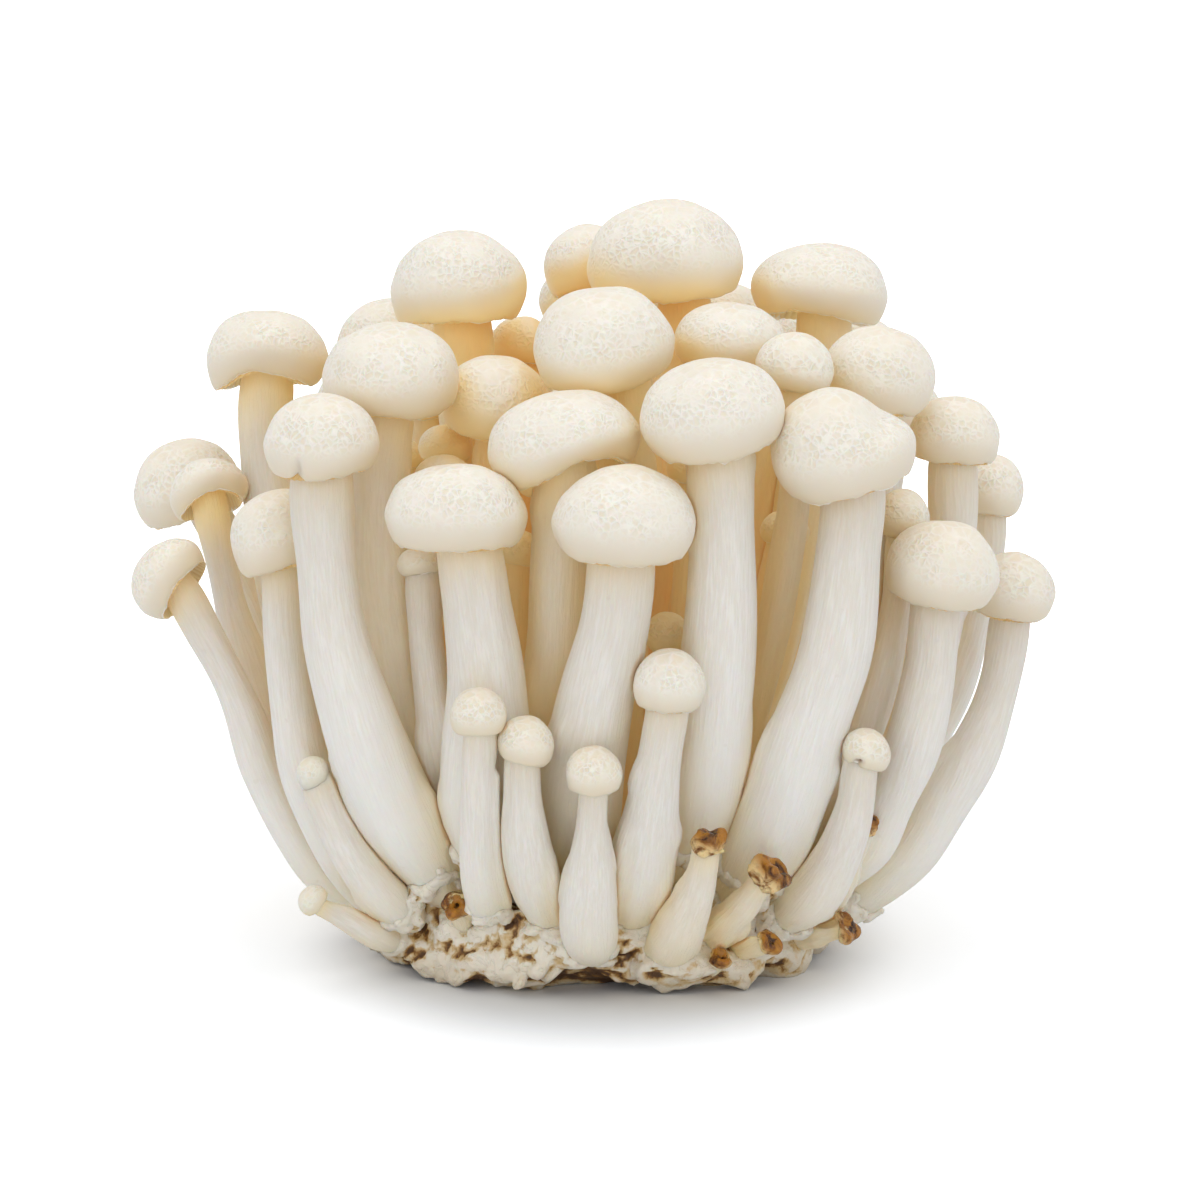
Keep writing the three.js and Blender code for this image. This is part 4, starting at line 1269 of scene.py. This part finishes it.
# Lobes at the ground, folds over them, upright ridges, and crumbs, with sizes in millimetres.
heap_up(20, (4.0, 5.8), shape=(1.5, 0.75, 0.62), heights=(0.12, 0.3), sunk=0.7, tilt=0.15)
heap_up(60, (2.2, 3.6), shape=(1.7, 0.8, 0.4), heights=(0.3, 0.9), sunk=0.6, tilt=0.5)
heap_up(34, (2.0, 3.2), shape=(0.7, 0.4, 1.7), heights=(0.45, 0.8), sunk=0.25, tilt=0.3)
heap_up(50, (0.7, 1.5), shape=(1.4, 0.8, 0.8), heights=(0.1, 1.0), sunk=0.2, tilt=1.0)
print(f"{len(heap)} lumps heaped round the butt")

# %% [markdown]
# ## Webs round the feet
#
# The felt doesn't stop where a foot leaves it: it clings to the stem and climbs it a little. Each stem's
# skin is followed up from its foot until no felt lies ahead of it any more, and long lumps are laid against
# it there.

# %% Webs round the feet
WEB_SIDES = 20
WEB_SPACING = 0.6 * MM
WEB_SHARE = 0.8
WEB_THICK = (0.65, 1.2)  # millimetres
WEB_LONG = (1.2, 2.6)  # against its thickness
WEB_ROWS, WEB_ROUND = 7, 10
THICKEST = 0.4  # against the stem's radius
FLATNESS = 0.8
BURIED = 3 * MM  # a stem's skin with felt ahead of it within this reach is still buried
FULL_FOOT = 0.8  # a foot counts from where it has this share of its widest radius
SMALLEST = 0.001 * MM

cad_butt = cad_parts["butt"].data
butt_tree = BVHTree.FromPolygons(
    [v.co.copy() for v in cad_butt.vertices], [list(p.vertices) for p in cad_butt.polygons]
)


def webs(name):
    """Felt that climbs a stem where its skin leaves the butt: long lumps, side by side round it."""
    grid, _ = stem_grid(name, WEB_SIDES, WEB_SPACING)
    rings = grid[: len(grid) // 2, :, :3]
    middles = rings.mean(1)
    for side in range(WEB_SIDES):
        outward = rings[:, side] - middles
        radius = np.linalg.norm(outward, axis=1)
        outward /= np.maximum(radius, SMALLEST)[:, None]
        start = int(np.argmax(radius > FULL_FOOT * radius.max()))
        for k in range(start, len(rings) - 1):
            if butt_tree.ray_cast(Vector(rings[k, side]), Vector(outward[k]), BURIED)[0] is None:
                break
        if dice.random() > WEB_SHARE:
            continue
        way = middles[k + 1] - middles[k]
        way /= np.linalg.norm(way)
        across = np.cross(way, outward[k])
        thick = min(radius[k] * THICKEST, dice.uniform(*WEB_THICK) * MM)
        long = thick * dice.uniform(*WEB_LONG)
        climb = dice.uniform(0.0, 0.8) * radius[k] if k == start else dice.uniform(-1.3, 0.1) * long
        centre = rings[k, side] + outward[k] * 0.4 * thick + way * climb
        centre[2] = max(thick, centre[2])
        turn = np.stack([across, outward[k], way], axis=1)
        heap.append(ball(centre, np.array([thick, FLATNESS * thick, long]), turn, WEB_ROWS, WEB_ROUND))


for name in mushroom_names:
    webs(name)
print(f"{len(heap)} lumps with the webs")

# %% Melt the heap into one skin
VOXEL = 0.47 * MM

points = [np.array([v.co for v in cad_butt.vertices])]
faces = [list(p.vertices) for p in cad_butt.polygons]
count = len(points[0])
for lump_points, lump_faces in heap:
    points.append(lump_points)
    faces += [[i + count for i in face] for face in lump_faces]
    count += len(lump_points)
heap_data = bpy.data.meshes.new("butt_heap")
heap_data.from_pydata(np.concatenate(points).tolist(), [], faces)
butt = bpy.data.objects.new("butt_felt", heap_data)
bpy.context.scene.collection.objects.link(butt)
remesh = butt.modifiers.new("melt", "REMESH")
remesh.mode = "VOXEL"
remesh.voxel_size = VOXEL
remesh.use_smooth_shade = True
melted = bpy.data.meshes.new_from_object(
    butt.evaluated_get(bpy.context.evaluated_depsgraph_get())
)
butt.modifiers.clear()
butt.data = melted
melted.name = "butt_felt"
print(f"the butt has {len(melted.polygons)} faces")

# %% [markdown]
# ## Rough and torn
#
# The melted skin is too smooth. Waves of three lengths swell it into folds, pits are pressed where another
# wave peaks, and the rim is lifted off the ground in places, as on a torn edge. Old felt turns tan and brown
# in its creases, and a crease is a point that lies lower than the average of its neighbours, so that is
# measured here and handed to the material.

# %% Averaging over neighbours


class MeshWeb:
    """Which points of a mesh are joined, for averaging over neighbours."""

    def __init__(self, mesh):
        edges = np.empty(len(mesh.edges) * 2, dtype=np.int64)
        mesh.edges.foreach_get("vertices", edges)
        self.edges = edges.reshape(-1, 2)
        self.size = len(mesh.vertices)
        self.degree = np.maximum(np.bincount(edges, minlength=self.size), 1)

    def averaged(self, values, times=1):
        """Each point's values replaced, again and again, by the mean of its neighbours'."""
        first, second = self.edges.T
        for _ in range(times):
            columns = [
                np.bincount(first, column[second], self.size)
                + np.bincount(second, column[first], self.size)
                for column in values.T
            ]
            values = np.stack(columns, axis=1) / self.degree[:, None]
        return values


web = MeshWeb(melted)
print(f"{len(web.edges)} joined pairs of points")

# %% Folds, pits and a lifted rim
RELAXING = 0.6
PIT_SIZE = 3.2 * MM
PIT_DEPTH = 1.1
PIT_FROM = 1.6  # how high the wave is where a pit starts
PIT_RAMP = 0.5  # and how much higher where it is deepest
LIFT = 2.4 * MM  # how far the felt's rim stands off the ground in places
LIFT_SIZE = 8 * MM
LIFT_HEIGHT = 3 * MM
RIM = (0.72, 0.95)  # where the rim starts and ends, against the butt's radius

points = places(melted)
points += RELAXING * (web.averaged(points, 2) - points)
set_points(melted, points)
pitted = np.clip(ripple(points, PIT_SIZE, 506) - PIT_FROM, 0, PIT_RAMP) / PIT_RAMP
rough = (
    0.45 * np.abs(ripple(points * [1, 1, 1.6], 9 * MM, 501))
    + 0.32 * np.abs(ripple(points * [1, 1, 2.2], 4 * MM, 502))
    + 0.12 * np.abs(ripple(points, 1.9 * MM, 503))
    - 0.35
    - PIT_DEPTH * pitted
)
points = points + vertex_normals(melted) * (rough * MM)[:, None]
points[:, 2] = np.maximum(points[:, 2], 0.0)
outward = np.linalg.norm((points - butt_middle)[:, :2], axis=1) / butt_radius
rim = np.clip((outward - RIM[0]) / (RIM[1] - RIM[0]), 0, 1)
lift = np.clip(ripple(points * [1, 1, 0], LIFT_SIZE, 509) + 0.2, 0, 1) * rim
points[:, 2] += LIFT * lift * np.exp(-((points[:, 2] / LIFT_HEIGHT) ** 2))
set_points(melted, points)
print(f"the rim is lifted by up to {1000 * LIFT * lift.max():.1f} mm")

# %% What the material needs to know
NEAR_ROUNDS, FAR_ROUNDS = 6, 30  # how many times the neighbours are averaged

normals = vertex_normals(melted)
pit = ((web.averaged(points, NEAR_ROUNDS) - points) * normals).sum(1) / MM
broad_pit = ((web.averaged(points, FAR_ROUNDS) - points) * normals).sum(1) / MM
set_attribute(melted, "pit", pit)
set_attribute(melted, "broad_pit", broad_pit)
set_attribute(melted, "pitted", pitted)
# How far the felt faces down: it is darker there.
set_attribute(melted, "under", np.clip(-normals[:, 2], 0, 1))
set_attribute(melted, "height", points[:, 2] / butt_height)
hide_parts("butt")
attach(butt, "root")
print(f"creases up to {pit.max():.2f} mm, hollows up to {broad_pit.max():.2f} mm")

# %% [markdown]
# ## The felt's finish
#
# Fresh felt is cream. A darkening from 0 to about 2 is added up from the creases, the hollows, the underside,
# the lower part, the pits, the wrinkles and a slow cloud of noise, and the colour goes from cream by way of
# tan to dark brown.

# %% The butt's material
butt_material, tree, shader = new_material("felted_butt")
place = place_on(tree)
cloud = noise(tree, place, 130.0, 6.0, 0.6)
fine = noise(tree, place, 1500.0, 4.0)
fold = maths(tree, "SUBTRACT", noise(tree, place, 420.0, 3.0, distortion=1.2), 0.5)
wrinkle = spread(tree, maths(tree, "ABSOLUTE", fold), 0.0, 0.035, 1.0, 0.0)
# The felt is darker towards the bottom.
low = spread(tree, attribute(tree, "height"), 0.0, 0.5, 1.0, 0.0)
darkening = spread(tree, cloud, 0.38, 0.66, 0.0, 1.35)
for sign, share in (
    (attribute(tree, "pit"), 1.8),
    (attribute(tree, "broad_pit"), 1.1),
    (attribute(tree, "pitted"), 0.3),
    (attribute(tree, "under"), 0.75),
    (low, 0.2),
    (wrinkle, 0.15),
):
    darkening = maths(tree, "MULTIPLY_ADD", sign, share, darkening)
felt = painted(
    tree,
    blend(tree, fine, paint(235, 226, 208), paint(247, 241, 229)),
    (low, 0.5, (206, 184, 146)),
    (spread(tree, darkening, 0.42, 0.95), 1.0, (216, 188, 138)),
    (spread(tree, darkening, 0.9, 1.3), 1.0, (160, 114, 54)),
    (spread(tree, darkening, 1.15, 1.6), 1.0, (92, 60, 28)),
)
relief = maths(tree, "MULTIPLY_ADD", wrinkle, -0.8, fine)
wire(tree, shader, {
    "Base Color": felt,
    "Normal": bump(tree, relief, 0.6, 0.18),
    "Roughness": spread(tree, cloud, 0.3, 0.7, 0.34, 0.6),
    "Subsurface Weight": 0.3,
    "Subsurface Radius": (1.0, 0.62, 0.36),
    "Subsurface Scale": 1.0 * MM,
})
melted.materials.clear()
melted.materials.append(butt_material)
print("felted butt ready")

# %% [markdown]
# ## View
#
# The Standard view keeps white paint white, where Blender's usual one would make it grey.

# %% View and the end
bpy.context.scene.view_settings.view_transform = "Standard"
